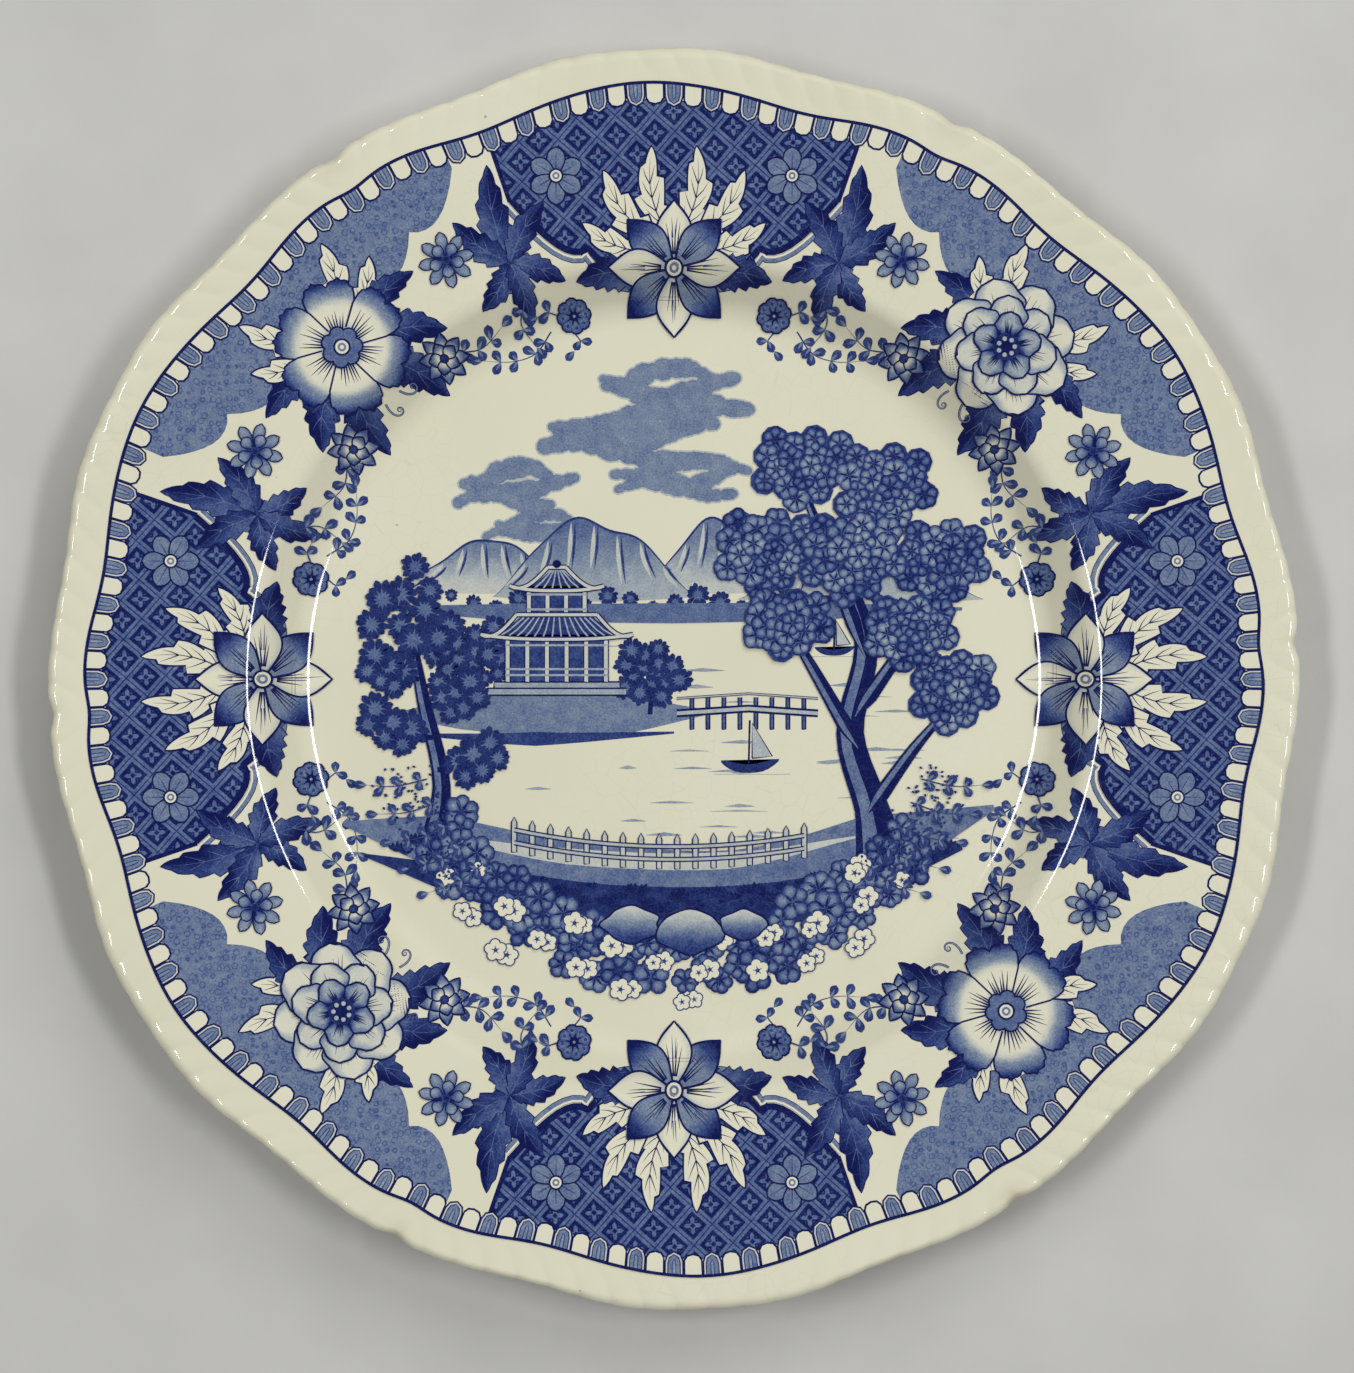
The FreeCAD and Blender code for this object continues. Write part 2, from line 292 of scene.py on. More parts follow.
def smooth(value: float) -> float:
    """An even ramp from 0 to 1."""
    value = min(max(value, 0.0), 1.0)
    return value * value * (3 - 2 * value)


# ---------------------------------------------------------------- node groups and finishes


def new_group(name: str, inputs: Sequence[tuple], outputs: Sequence[tuple]) -> tuple:
    """An empty shader node group with its sockets.

    Args:
        name: the group's name.
        inputs: (name, socket type, default) of each input; a default of None is left.
        outputs: (name, socket type) of each output.

    Returns:
        The group, its input node and its output node.
    """
    group = bpy.data.node_groups.new(name, "ShaderNodeTree")
    for label, kind, default in inputs:
        socket = group.interface.new_socket(label, in_out="INPUT", socket_type=kind)
        if default is not None:
            socket.default_value = default
    for label, kind in outputs:
        group.interface.new_socket(label, in_out="OUTPUT", socket_type=kind)
    return group, group.nodes.new("NodeGroupInput"), group.nodes.new("NodeGroupOutput")


def maths(tree: Tree, operation: str, *values: Feed, clamp: bool = False) -> Socket:
    """A maths node fed by sockets or numbers; gives its output socket.

    Args:
        tree: the node tree.
        operation: the node's operation.
        clamp: whether it is held between 0 and 1.
        values: sockets or numbers for its inputs.

    Returns:
        Its output socket.
    """
    node = tree.nodes.new("ShaderNodeMath")
    node.operation = operation
    node.use_clamp = clamp
    for socket, value in zip(node.inputs, values):
        if isinstance(value, (int, float)):
            socket.default_value = value
        else:
            tree.links.new(value, socket)
    return node.outputs[0]


def noise(tree: Tree, vector: Socket, scale: float, detail: float = 2.0, rough: float = 0.5) -> Socket:
    """A noise texture's value socket.

    Args:
        tree: the node tree.
        vector: the place socket.
        scale: how fine it is.
        detail: how many octaves it has.
        rough: how strong the fine ones are.

    Returns:
        Its value socket.
    """
    node = tree.nodes.new("ShaderNodeTexNoise")
    node.inputs["Scale"].default_value = scale
    node.inputs["Detail"].default_value = detail
    node.inputs["Roughness"].default_value = rough
    tree.links.new(vector, node.inputs["Vector"])
    return node.outputs["Fac"]


def ramp(tree: Tree, value: Socket, stops: Sequence[tuple]) -> Socket:
    """A colour ramp's colour socket, from (position, linear rgb) stops.

    Args:
        tree: the node tree.
        value: the value socket.
        stops: (position, linear rgb) of each stop.

    Returns:
        Its colour socket.
    """
    node = tree.nodes.new("ShaderNodeValToRGB")
    bar = node.color_ramp
    while len(bar.elements) < len(stops):
        bar.elements.new(0.5)
    for element, (position, colour) in zip(bar.elements, stops):
        element.position = position
        element.color = (*colour, 1.0)
    tree.links.new(value, node.inputs[0])
    return node.outputs["Color"]


def mix_colour(tree: Tree, share: Feed, first: Feed, second: Feed) -> Socket:
    """A colour mix's result socket; colours may be sockets or linear rgb.

    Args:
        tree: the node tree.
        share: how much of the second shows.
        first: the first colour.
        second: the second colour.

    Returns:
        Its result socket.
    """
    node = tree.nodes.new("ShaderNodeMix")
    node.data_type = "RGBA"
    for socket, value in ((node.inputs[0], share), (node.inputs[6], first), (node.inputs[7], second)):
        if isinstance(value, (int, float)):
            socket.default_value = value
        elif isinstance(value, tuple):
            socket.default_value = (*value, 1.0)
        else:
            tree.links.new(value, socket)
    return node.outputs[2]


def linear(red: int, green: int, blue: int) -> tuple[float, float, float]:
    """A display colour, 0 to 255 a channel, as linear rgb.

    Args:
        red: red, 0 to 255.
        green: green, 0 to 255.
        blue: blue, 0 to 255.

    Returns:
        The linear rgb.
    """
    def channel(value: int) -> float:
        """One channel as a linear share."""
        share = value / 255
        return share / 12.92 if share <= 0.04045 else ((share + 0.055) / 1.055) ** 2.4
    return channel(red), channel(green), channel(blue)


@dataclass(frozen=True)
class Inks:
    """Colours of the glaze over bare clay and over each depth of blue."""

    cream: tuple = linear(228, 225, 201)
    mist: tuple = linear(172, 180, 183)
    wash: tuple = linear(129, 143, 162)
    mid: tuple = linear(84, 102, 144)
    strong: tuple = linear(43, 61, 120)
    deep: tuple = linear(5, 16, 80)


INKS = Inks()


class Effects:
    """The node groups that the finishes share."""

    def __init__(self) -> None:
        """Build each group once."""
        self.crazing = self._crazing()
        self.specks = self._specks()
        self.stipple = self._stipple()

    @staticmethod
    def _crazing() -> Tree:
        """Fine cracks in the glaze, gathered in patches: a mask from an object place in metres."""
        group, given, out = new_group(
            "glaze_crazing", [("Vector", "NodeSocketVector", None), ("Scale", "NodeSocketFloat", 260.0)],
            [("Mask", "NodeSocketFloat")])
        cells = group.nodes.new("ShaderNodeTexVoronoi")
        cells.feature = "DISTANCE_TO_EDGE"
        group.links.new(given.outputs["Vector"], cells.inputs["Vector"])
        group.links.new(given.outputs["Scale"], cells.inputs["Scale"])
        line = maths(group, "SUBTRACT", 1.0, maths(group, "DIVIDE", cells.outputs["Distance"], 0.02,
                                                   clamp=True))
        patch = noise(group, given.outputs["Vector"], 14.0, 3.0)
        patch = maths(group, "MULTIPLY", maths(group, "SUBTRACT", patch, 0.46), 7.0, clamp=True)
        group.links.new(maths(group, "MULTIPLY", line, patch), out.inputs["Mask"])
        return group

    @staticmethod
    def _specks() -> Tree:
        """Rare pits and kiln dirt: a mask from an object place in metres."""
        group, given, out = new_group(
            "kiln_specks", [("Vector", "NodeSocketVector", None), ("Rarity", "NodeSocketFloat", 0.9)],
            [("Mask", "NodeSocketFloat")])
        cells = group.nodes.new("ShaderNodeTexVoronoi")
        cells.inputs["Scale"].default_value = 210.0
        group.links.new(given.outputs["Vector"], cells.inputs["Vector"])
        split = group.nodes.new("ShaderNodeSeparateColor")
        group.links.new(cells.outputs["Color"], split.inputs[0])
        chosen = maths(group, "GREATER_THAN", split.outputs[0], given.outputs["Rarity"])
        size = maths(group, "MULTIPLY", split.outputs[1], 0.05)
        dot = maths(group, "LESS_THAN", cells.outputs["Distance"], maths(group, "ADD", size, 0.02))
        group.links.new(maths(group, "MULTIPLY", chosen, dot), out.inputs["Mask"])
        return group

    @staticmethod
    def _stipple() -> Tree:
        """The grain of an engraved print: a depth of blue made uneven, most in the half tones."""
        group, given, out = new_group(
            "print_stipple", [("Vector", "NodeSocketVector", None), ("Tone", "NodeSocketFloat", 0.5),
                              ("Grain", "NodeSocketFloat", 0.3)],
            [("Tone", "NodeSocketFloat")])
        fine = noise(group, given.outputs["Vector"], 2600.0, 1.0)
        broad = noise(group, given.outputs["Vector"], 420.0, 2.0)
        tone = given.outputs["Tone"]
        half = maths(group, "MULTIPLY", maths(group, "MULTIPLY", tone,
                                              maths(group, "SUBTRACT", 1.25, tone)), 2.2)
        grain = maths(group, "MULTIPLY", maths(group, "SUBTRACT", fine, 0.5), given.outputs["Grain"])
        cloud = maths(group, "MULTIPLY", maths(group, "SUBTRACT", broad, 0.5), 0.35)
        uneven = maths(group, "MULTIPLY", maths(group, "ADD", grain, cloud), half)
        group.links.new(maths(group, "ADD", tone, uneven, clamp=True), out.inputs["Tone"])
        return group


class Finish:
    """Base of the finishes: a material with its object place and one Principled shader."""

    def __init__(self, name: str, effects: Effects) -> None:
        """Start the material.

        Args:
            name: the material's name.
            effects: the shared node groups.
        """
        self.effects = effects
        self.material = bpy.data.materials.new(name)
        self.material.use_nodes = True
        self.tree = self.material.node_tree
        self.shader = self.tree.nodes["Principled BSDF"]
        self.place = self.tree.nodes.new("ShaderNodeTexCoord").outputs["Object"]

    def effect(self, group: Tree, **values: Feed) -> Socket:
        """Add a shared group fed by the object place; gives its first output.

        Args:
            group: the node group.
            values: sockets or numbers for its inputs.

        Returns:
            Its first output.
        """
        node = self.tree.nodes.new("ShaderNodeGroup")
        node.node_tree = group
        self.tree.links.new(self.place, node.inputs["Vector"])
        for label, value in values.items():
            if isinstance(value, (int, float)):
                node.inputs[label].default_value = value
            else:
                self.tree.links.new(value, node.inputs[label])
        return node.outputs[0]

    def glaze_over(self, colour: Socket) -> None:
        """Finish the material as glossy lead glaze over a colour socket.

        Args:
            colour: the colour under the glaze.
        """
        tree = self.tree
        cracks = self.effect(self.effects.crazing)
        colour = mix_colour(tree, maths(tree, "MULTIPLY", cracks, 0.12), colour, linear(150, 132, 92))
        pits = self.effect(self.effects.specks, Rarity=0.97)
        colour = mix_colour(tree, maths(tree, "MULTIPLY", pits, 0.5), colour, linear(96, 84, 66))
        tree.links.new(colour, self.shader.inputs["Base Color"])
        wear = noise(tree, self.place, 60.0, 3.0)
        rough = maths(tree, "ADD", maths(tree, "MULTIPLY", wear, 0.05), 0.05)
        tree.links.new(rough, self.shader.inputs["Roughness"])
        self.shader.inputs["IOR"].default_value = 1.5
        bump = tree.nodes.new("ShaderNodeBump")
        bump.inputs["Strength"].default_value = 0.25
        bump.inputs["Distance"].default_value = 0.00015
        tree.links.new(noise(tree, self.place, 95.0, 2.0), bump.inputs["Height"])
        tree.links.new(bump.outputs["Normal"], self.shader.inputs["Normal"])


class GlazedWare(Finish):
    """Cream glaze over bare clay, a little browner in the nicks and along the lip."""

    def __init__(self, effects: Effects) -> None:
        """Build the finish.

        Args:
            effects: the shared node groups.
        """
        super().__init__("cream_glaze", effects)
        tree = self.tree
        tint = noise(tree, self.place, 24.0, 3.0)
        colour = ramp(tree, tint, [(0.3, linear(224, 220, 194)), (0.7, INKS.cream)])
        stain = tree.nodes.new("ShaderNodeAttribute")
        stain.attribute_name = "stain"
        blotch = maths(tree, "MULTIPLY", maths(tree, "SUBTRACT", noise(tree, self.place, 130.0, 4.0), 0.42),
                       4.0, clamp=True)
        share = maths(tree, "MULTIPLY", stain.outputs["Fac"], blotch)
        colour = mix_colour(tree, share, colour, linear(150, 120, 78))
        self.glaze_over(colour)


class PrintedGlaze(Finish):
    """Glaze over cobalt print, its depth taken from the mesh's tone."""

    def __init__(self, effects: Effects) -> None:
        """Build the finish.

        Args:
            effects: the shared node groups.
        """
        super().__init__("printed_glaze", effects)
        tone = self.tree.nodes.new("ShaderNodeAttribute")
        tone.attribute_name = "tone"
        self.glaze_over(self.inked(tone.outputs["Fac"]))

    def inked(self, tone: Socket) -> Socket:
        """The colour socket of a depth of blue, with the grain of the print.

        Args:
            tone: its depth of blue.

        Returns:
            The colour socket.
        """
        grained = self.effect(self.effects.stipple, Tone=tone, Grain=0.5)
        return ramp(self.tree, grained, [
            (0.0, INKS.cream), (0.22, INKS.mist), (0.4, INKS.wash), (0.62, INKS.mid),
            (0.82, INKS.strong), (1.0, INKS.deep)])


class TrellisGlaze(PrintedGlaze):
    """Printed glaze filled with a lattice of double bars and small stars."""

    pitch = 5.6  # mm between bars along each slant

    def __init__(self, effects: Effects) -> None:
        """Build the finish over the panel's own plan coordinates.

        Args:
            effects: the shared node groups.
        """
        Finish.__init__(self, "trellis_glaze", effects)
        tree = self.tree
        plan = tree.nodes.new("ShaderNodeUVMap")
        plan.uv_map = "plan"
        turn = tree.nodes.new("ShaderNodeMapping")
        turn.inputs["Rotation"].default_value = (0.0, 0.0, math.radians(41.0))
        turn.inputs["Scale"].default_value = (1 / self.pitch, 1 / self.pitch, 1.0)
        tree.links.new(plan.outputs[0], turn.inputs["Vector"])
        split = tree.nodes.new("ShaderNodeSeparateXYZ")
        tree.links.new(turn.outputs[0], split.inputs[0])
        folded = [self._fold(split.outputs[index]) for index in (0, 1)]
        bars = [self._bar(value) for value in folded]
        lattice = maths(tree, "MAXIMUM", *bars)
        slits = maths(tree, "MAXIMUM", *[self._slit(value) for value in folded])
        star = self._star(folded)
        tone = maths(tree, "SUBTRACT", 0.97, maths(tree, "MULTIPLY", lattice, 0.36))
        tone = maths(tree, "SUBTRACT", tone, maths(tree, "MULTIPLY", star, 0.38))
        tone = maths(tree, "ADD", tone, maths(tree, "MULTIPLY", slits, 0.34), clamp=True)
        self.glaze_over(self.inked(tone))

    def _fold(self, value: Socket) -> Socket:
        """Distance from the nearest bar's middle, 0 to 0.5."""
        part = maths(self.tree, "FRACT", value)
        return maths(self.tree, "MINIMUM", part, maths(self.tree, "SUBTRACT", 1.0, part))

    def _bar(self, value: Socket) -> Socket:
        """1 on a bar, 0 off it, with a narrow soft edge."""
        edge = maths(self.tree, "SUBTRACT", 0.155, value)
        return maths(self.tree, "MULTIPLY", edge, 30.0, clamp=True)

    def _slit(self, value: Socket) -> Socket:
        """1 on the dark line along the middle of a bar."""
        edge = maths(self.tree, "SUBTRACT", 0.03, value)
        return maths(self.tree, "MULTIPLY", edge, 40.0, clamp=True)

    def _star(self, folded: Sequence[Socket]) -> Socket:
        """1 on the four-petalled star in the middle of each opening.

        Args:
            folded: the two folded plan coordinates.

        Returns:
            The mask.
        """
        tree = self.tree
        across = [maths(tree, "SUBTRACT", 0.5, value) for value in folded]
        reach = maths(tree, "MAXIMUM", *across)
        waist = maths(tree, "ABSOLUTE", maths(tree, "SUBTRACT", *across))
        body = maths(tree, "MULTIPLY", maths(tree, "SUBTRACT", 0.25, reach), 22.0, clamp=True)
        petal = maths(tree, "MULTIPLY", maths(tree, "SUBTRACT", 0.13, waist), 22.0, clamp=True)
        plus = maths(tree, "MULTIPLY", maths(tree, "SUBTRACT", waist, 0.17), 22.0, clamp=True)
        eye = maths(tree, "MULTIPLY", maths(tree, "SUBTRACT", reach, 0.055), 30.0, clamp=True)
        return maths(tree, "MULTIPLY", maths(tree, "MULTIPLY", body, maths(tree, "MAXIMUM", petal, plus)),
                     eye)


class ScaleGlaze(PrintedGlaze):
    """Printed glaze filled with small rings like roe."""

    def __init__(self, effects: Effects) -> None:
        """Build the finish over the ground's own plan coordinates.

        Args:
            effects: the shared node groups.
        """
        Finish.__init__(self, "scale_glaze", effects)
        tree = self.tree
        plan = tree.nodes.new("ShaderNodeUVMap")
        plan.uv_map = "plan"
        cells = tree.nodes.new("ShaderNodeTexVoronoi")
        cells.inputs["Scale"].default_value = 0.62
        cells.inputs["Randomness"].default_value = 0.55
        tree.links.new(plan.outputs[0], cells.inputs["Vector"])
        ring = maths(tree, "ABSOLUTE", maths(tree, "SUBTRACT", cells.outputs["Distance"], 0.36))
        ring = maths(tree, "MULTIPLY", maths(tree, "SUBTRACT", 0.1, ring), 12.0, clamp=True)
        tone = maths(tree, "ADD", 0.52, maths(tree, "MULTIPLY", ring, 0.17), clamp=True)
        self.glaze_over(self.inked(tone))


class BiscuitClay(Finish):
    """The bare, dry clay of the foot ring, soiled by use."""

    def __init__(self, effects: Effects) -> None:
        """Build the finish.

        Args:
            effects: the shared node groups.
        """
        super().__init__("biscuit_clay", effects)
        tree = self.tree
        grain = noise(tree, self.place, 900.0, 4.0, 0.7)
        soil = noise(tree, self.place, 40.0, 4.0)
        colour = ramp(tree, soil, [(0.35, linear(196, 178, 140)), (0.65, linear(222, 208, 174))])
        colour = mix_colour(tree, maths(tree, "MULTIPLY", grain, 0.35), colour, linear(150, 132, 100))
        tree.links.new(colour, self.shader.inputs["Base Color"])
        self.shader.inputs["Roughness"].default_value = 0.85
        bump = tree.nodes.new("ShaderNodeBump")
        bump.inputs["Strength"].default_value = 0.5
        bump.inputs["Distance"].default_value = 0.0002
        tree.links.new(grain, bump.inputs["Height"])
        tree.links.new(bump.outputs["Normal"], self.shader.inputs["Normal"])


# ---------------------------------------------------------------- the ware


def add_piece(name: str, mesh: bpy.types.Mesh, material: bpy.types.Material, slot: str) -> bpy.types.Object:
    """Put a finished mesh into the scene as a piece of the plate.

    Args:
        name: the piece's name.
        mesh: its mesh, in metres, in place.
        material: its finish.
        slot: not used.

    Returns:
        The new object.
    """
    mesh.materials.append(material)
    piece = bpy.data.objects.new(name, mesh)
    bpy.context.scene.collection.objects.link(piece)
    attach(piece, "root")
    log.info("%s: %d faces", name, len(mesh.polygons))
    return piece


def wrapped_shell(rows: int, steps: int, place: Callable[[int, float], Vector]) -> bmesh.types.BMesh:
    """A shell wrapped once round the axis from a flat grid.

    Args:
        rows: how many rows the section has.
        steps: how many columns go round.
        place: gives the point, in metres, of a row at an angle in degrees.

    Returns:
        The shell, welded along its seam and at any pole.
    """
    shell = bmesh.new()
    made = bmesh.ops.create_grid(shell, x_segments=steps, y_segments=rows - 1, size=1.0)
    for index, vert in enumerate(made["verts"]):
        row, column = divmod(index, steps + 1)
        vert.co = place(row, 360.0 * (column % steps) / steps)
    bmesh.ops.remove_doubles(shell, verts=shell.verts, dist=1e-8)
    bmesh.ops.recalc_face_normals(shell, faces=shell.faces)
    return shell


def spun_shell(section: Sequence[Point], steps: int) -> bmesh.types.BMesh:
    """A shell spun about the axis from a section in millimetres.

    Args:
        section: (radius, height) points.
        steps: columns round the axis.

    Returns:
        The shell.
    """
    def place(row: int, angle: float) -> Vector:
        """The point at a place of the grid."""
        radius, height = section[row]
        return Vector((*polar(radius, angle), height)) * MM
    return wrapped_shell(len(section), steps, place)


class GlazedPlate:
    """The glazed face, the moulded edge and the glazed back."""

    face_steps = 480
    edge_steps = 1440
    back_steps = 360
    flat_rows = 22
    lip_rows = 14
    under_rows = 6

    def __init__(self, surface: Surface, finish: GlazedWare) -> None:
        """Keep the surface and finish the pieces are made with."""
        self.surface = surface
        self.finish = finish

    def build(self) -> list[bpy.types.Object]:
        """Make the pieces; the face stands for the glaze coat of the model."""
        face = self._piece("glazed_face", self._face_shell())
        edge = self._piece("moulded_edge", self._edge_shell(), stained=True)
        back = self._piece("glazed_back", self._back_shell())
        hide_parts("face_glaze")
        return [face, edge, back]

    def _piece(self, name: str, shell: bmesh.types.BMesh, stained: bool = False) -> bpy.types.Object:
        """Shade a shell smooth, give it its stain attribute and add it.

        Args:
            name: its name.
            shell: its mesh, freed here.
            stained: whether it holds brown.

        Returns:
            The piece.
        """
        mesh = bpy.data.meshes.new(name)
        for face in shell.faces:
            face.smooth = True
        shell.to_mesh(mesh)
        shell.free()
        stain = mesh.attributes.new("stain", "FLOAT", "POINT")
        stain.data.foreach_set("value", [self._stain(v.co) if stained else 0.0 for v in mesh.vertices])
        return add_piece(name, mesh, self.finish.material, "glaze")

    def _stain(self, place: Vector) -> float:
        """How much brown a point of the edge holds: in the nicks and along the lip.

        Args:
            place: a point in metres.

        Returns:
            The share, 0 to 1.
        """
        angle = math.degrees(math.atan2(place.y, place.x))
        radius = place.xy.length / MM
        reach = radius - self.surface.sizes.mean_radius - self.surface.edge_wave(angle)
        lip = smooth(1 + (reach + 0.3) / 1.2)
        nick = self.surface.nick(angle, self.surface.sizes.stain_nick)
        return min(0.16 * lip + 0.3 * nick * smooth(1 + reach / 5.0), 1.0)

    def _face_shell(self) -> bmesh.types.BMesh:
        """The upper face out to the start of the mouldings."""
        section = []
        for (r0, z0), (r1, z1) in zip(self.surface.section, self.surface.section[1:]):
            cuts = max(1, int((r1 - r0) / 6.0))
            section += [(r0 + (r1 - r0) * k / cuts, z0 + (z1 - z0) * k / cuts) for k in range(cuts)]
        section.append(self.surface.section[-1])
        shell = spun_shell(section, self.face_steps)
        for face in shell.faces:
            if face.normal.z < 0:
                face.normal_flip()
        return shell

    def _edge_section(self) -> list[tuple[Point, Point, float, float]]:
        """Rows round the moulded edge: point, normal, outward share, strength of the rope."""
        s = self.surface.sizes
        start = s.mean_radius - s.mould_width
        lip = s.lip_thickness / 2
        span = s.mould_width - lip
        slope = math.radians(s.rim_slope)
        up = (-math.sin(slope), math.cos(slope))
        rows = []
        for step in range(self.flat_rows):
            share = step / self.flat_rows
            radius = start + share * span
            rows.append(((radius, self.surface.height(radius)), up, share * span / s.mould_width, 1.0))
        centre = (start + span, self.surface.height(start + span) - lip)
        for step in range(self.lip_rows + 1):
            turn = math.pi / 2 - math.pi * step / self.lip_rows
            way = (math.cos(turn), math.sin(turn))
            point = (centre[0] + lip * way[0], centre[1] + lip * way[1])
            rows.append((point, way, (point[0] - start) / s.mould_width, 0.4 + 0.6 * max(way[1], 0.0)))
        for step in range(1, self.under_rows + 1):
            share = 1 - step / self.under_rows
            radius = start + share * span
            height = self.surface.height(radius) - s.lip_thickness - (s.rim_thickness
                                                                      - s.lip_thickness) * (1 - share)
            rows.append(((radius, height), (-up[0], -up[1]), share * span / s.mould_width,
                         0.35 * smooth(2 * share)))
        return rows

    def _edge_shell(self) -> bmesh.types.BMesh:
        """The lobed, rope-moulded edge, round the lip and back under the rim."""
        s = self.surface.sizes
        rows = self._edge_section()

        def place(index: int, angle: float) -> Vector:
            """The point at a place of the grid."""
            (radius, height), way, outward, strength = rows[index]
            share = min(outward, 1.0)
            out = radius + share * share * self.surface.edge_wave(angle)
            strength *= 0.42 + 0.58 * smooth((share - 0.55) / 0.4)
            clear = smooth((out - self.surface.line_radius(angle) - 0.4) / 2.6) if way[1] > 0 else 1.0
            swell = s.rope_depth * strength * clear * self.surface.rope(angle, share)
            out += swell * way[0]
            return Vector((*polar(out, angle), height + swell * way[1])) * MM
        return wrapped_shell(len(rows), self.edge_steps, place)

    def _back_shell(self) -> bmesh.types.BMesh:
        """The glazed back, from the underside of the rim down to the foot ring."""
        s = self.surface.sizes
        lo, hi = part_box("foot_glaze")
        start = s.mean_radius - s.mould_width
        height = self.surface.height(start) - s.rim_thickness
        slope, steep = math.radians(s.rim_slope), math.radians(s.cavetto_slope)
        under = hi.z / MM - 0.3
        wall = math.tan(steep)
        rim = math.tan(slope)
        wall_foot = (s.floor_radius + (s.foot_arc + s.wall_thickness) * math.sin(steep),
                     self.surface.floor_height + s.foot_arc - (s.foot_arc + s.wall_thickness)
                     * math.cos(steep))
        knee = (wall_foot[0] - (wall_foot[1] - under) / wall, under)
        elbow_r = (height - start * rim - knee[1] + knee[0] * wall) / (wall - rim)
        elbow_z = knee[1] + (elbow_r - knee[0]) * wall
        foot = (s.floor_radius + s.foot_reach, lo.z / MM)
        corners = [foot, (foot[0] + 0.4, under), knee, (elbow_r, elbow_z), (start, height)]
        section = self._rounded(corners, (0.0, 0.9, 2.0, 1.25, 0.0))
        return spun_shell(section[::-1], self.back_steps)

    @staticmethod
    def _rounded(corners: Sequence[Point], radii: Sequence[float]) -> list[Point]:
        """A section with its corners cut to smooth bends of about the given reach.

        Args:
            corners: its corners.
            radii: reach of the bend at each corner.

        Returns:
            The section.
        """
        out = [corners[0]]
        for before, corner, after, reach in zip(corners, corners[1:], corners[2:], radii[1:]):
            a, c = Vector(before), Vector(after)
            b = Vector(corner)
            reach = min(reach, (a - b).length * 0.45, (c - b).length * 0.45)
            start, end = b + (a - b).normalized() * reach, b + (c - b).normalized() * reach
            for step in range(9):
                t = step / 8
                point = start * (1 - t) ** 2 + b * 2 * t * (1 - t) + end * t * t
                out.append((point.x, point.y))
        out.append(corners[-1])
        return out


# ---------------------------------------------------------------- inked shapes

ToneLike = float | Callable[[float, float], float]
Shape = Callable[[float, float], float]


def curve(points: Sequence[Point], per: int = 6, closed: bool = False) -> list[Point]:
    """A smooth line through points.

    Args:
        points: what it passes through.
        per: how many steps each stretch gets.
        closed: whether it runs back to its start.

    Returns:
        The line's points.
    """
    count = len(points)
    stretches = count if closed else count - 1
    out = []
    for index in range(stretches):
        if closed:
            a, b, c, d = (points[(index + k) % count] for k in (-1, 0, 1, 2))
        else:
            b, c = points[index], points[index + 1]
            a = points[index - 1] if index else (2 * b[0] - c[0], 2 * b[1] - c[1])
            d = points[index + 2] if index + 2 < count else (2 * c[0] - b[0], 2 * c[1] - b[1])
        for step in range(per):
            t = step / per
            out.append(tuple(
                0.5 * (2 * q + (r - p) * t + (2 * p - 5 * q + 4 * r - s) * t * t + (3 * q - p - 3 * r + s)
                       * t ** 3)
                for p, q, r, s in zip(a, b, c, d)))
    if not closed:
        out.append(tuple(points[-1]))
    return out


def beside(path: Sequence[Point], gap: float) -> list[Point]:
    """The path moved sideways by gap, to its left where gap is above zero.

    Args:
        path: the path.
        gap: how far it is moved.

    Returns:
        The moved path.
    """
    last = len(path) - 1
    out = []
    for index, (x, y) in enumerate(path):
        x0, y0 = path[max(index - 1, 0)]
        x1, y1 = path[min(index + 1, last)]
        length = math.hypot(x1 - x0, y1 - y0) or 1.0
        out.append((x - (y1 - y0) / length * gap, y + (x1 - x0) / length * gap))
    return out


def leaf(u: float, _side: float) -> float:
    """Half width share of a plain pointed leaf."""
    return math.sin(math.pi * u ** 0.8) ** 0.85 if 0 < u < 1 else 0.0


def petal(u: float, _side: float) -> float:
    """Half width share of a petal, broadest towards its rounded tip."""
    return math.sin(math.pi * u ** 1.5) ** 0.62 if 0 < u < 1 else 0.0


def pointed_petal(u: float, _side: float) -> float:
    """Half width share of a petal with a drawn-out tip."""
    return math.sin(math.pi * u ** 1.15) ** 1.1 if 0 < u < 1 else 0.0


def toothed(count: int, depth: float, under: Shape = leaf) -> Shape:
    """A shape cut into teeth that point to the tip.

    Args:
        count: how many there are.
        depth: how deep they are cut, as a share.
        under: the shape that is cut.

    Returns:
        The cut shape.
    """
    def shape(u: float, side: float) -> float:
        """Half width share at a share along it."""
        place = u * count + (0.5 if side > 0 else 0.0)
        return under(u, side) * (1 - depth * (1 - place % 1.0))
    return shape


def lobed(count: float, depth: float, under: Shape = leaf) -> Shape:
    """A shape cut into round lobes.

    Args:
        count: how many there are.
        depth: how deep they are cut, as a share.
        under: the shape that is cut.

    Returns:
        The cut shape.
    """
    def shape(u: float, side: float) -> float:
        """Half width share at a share along it."""
        return under(u, side) * (1 - depth * (0.5 + 0.5 * math.cos(2 * math.pi * count * u)))
    return shape


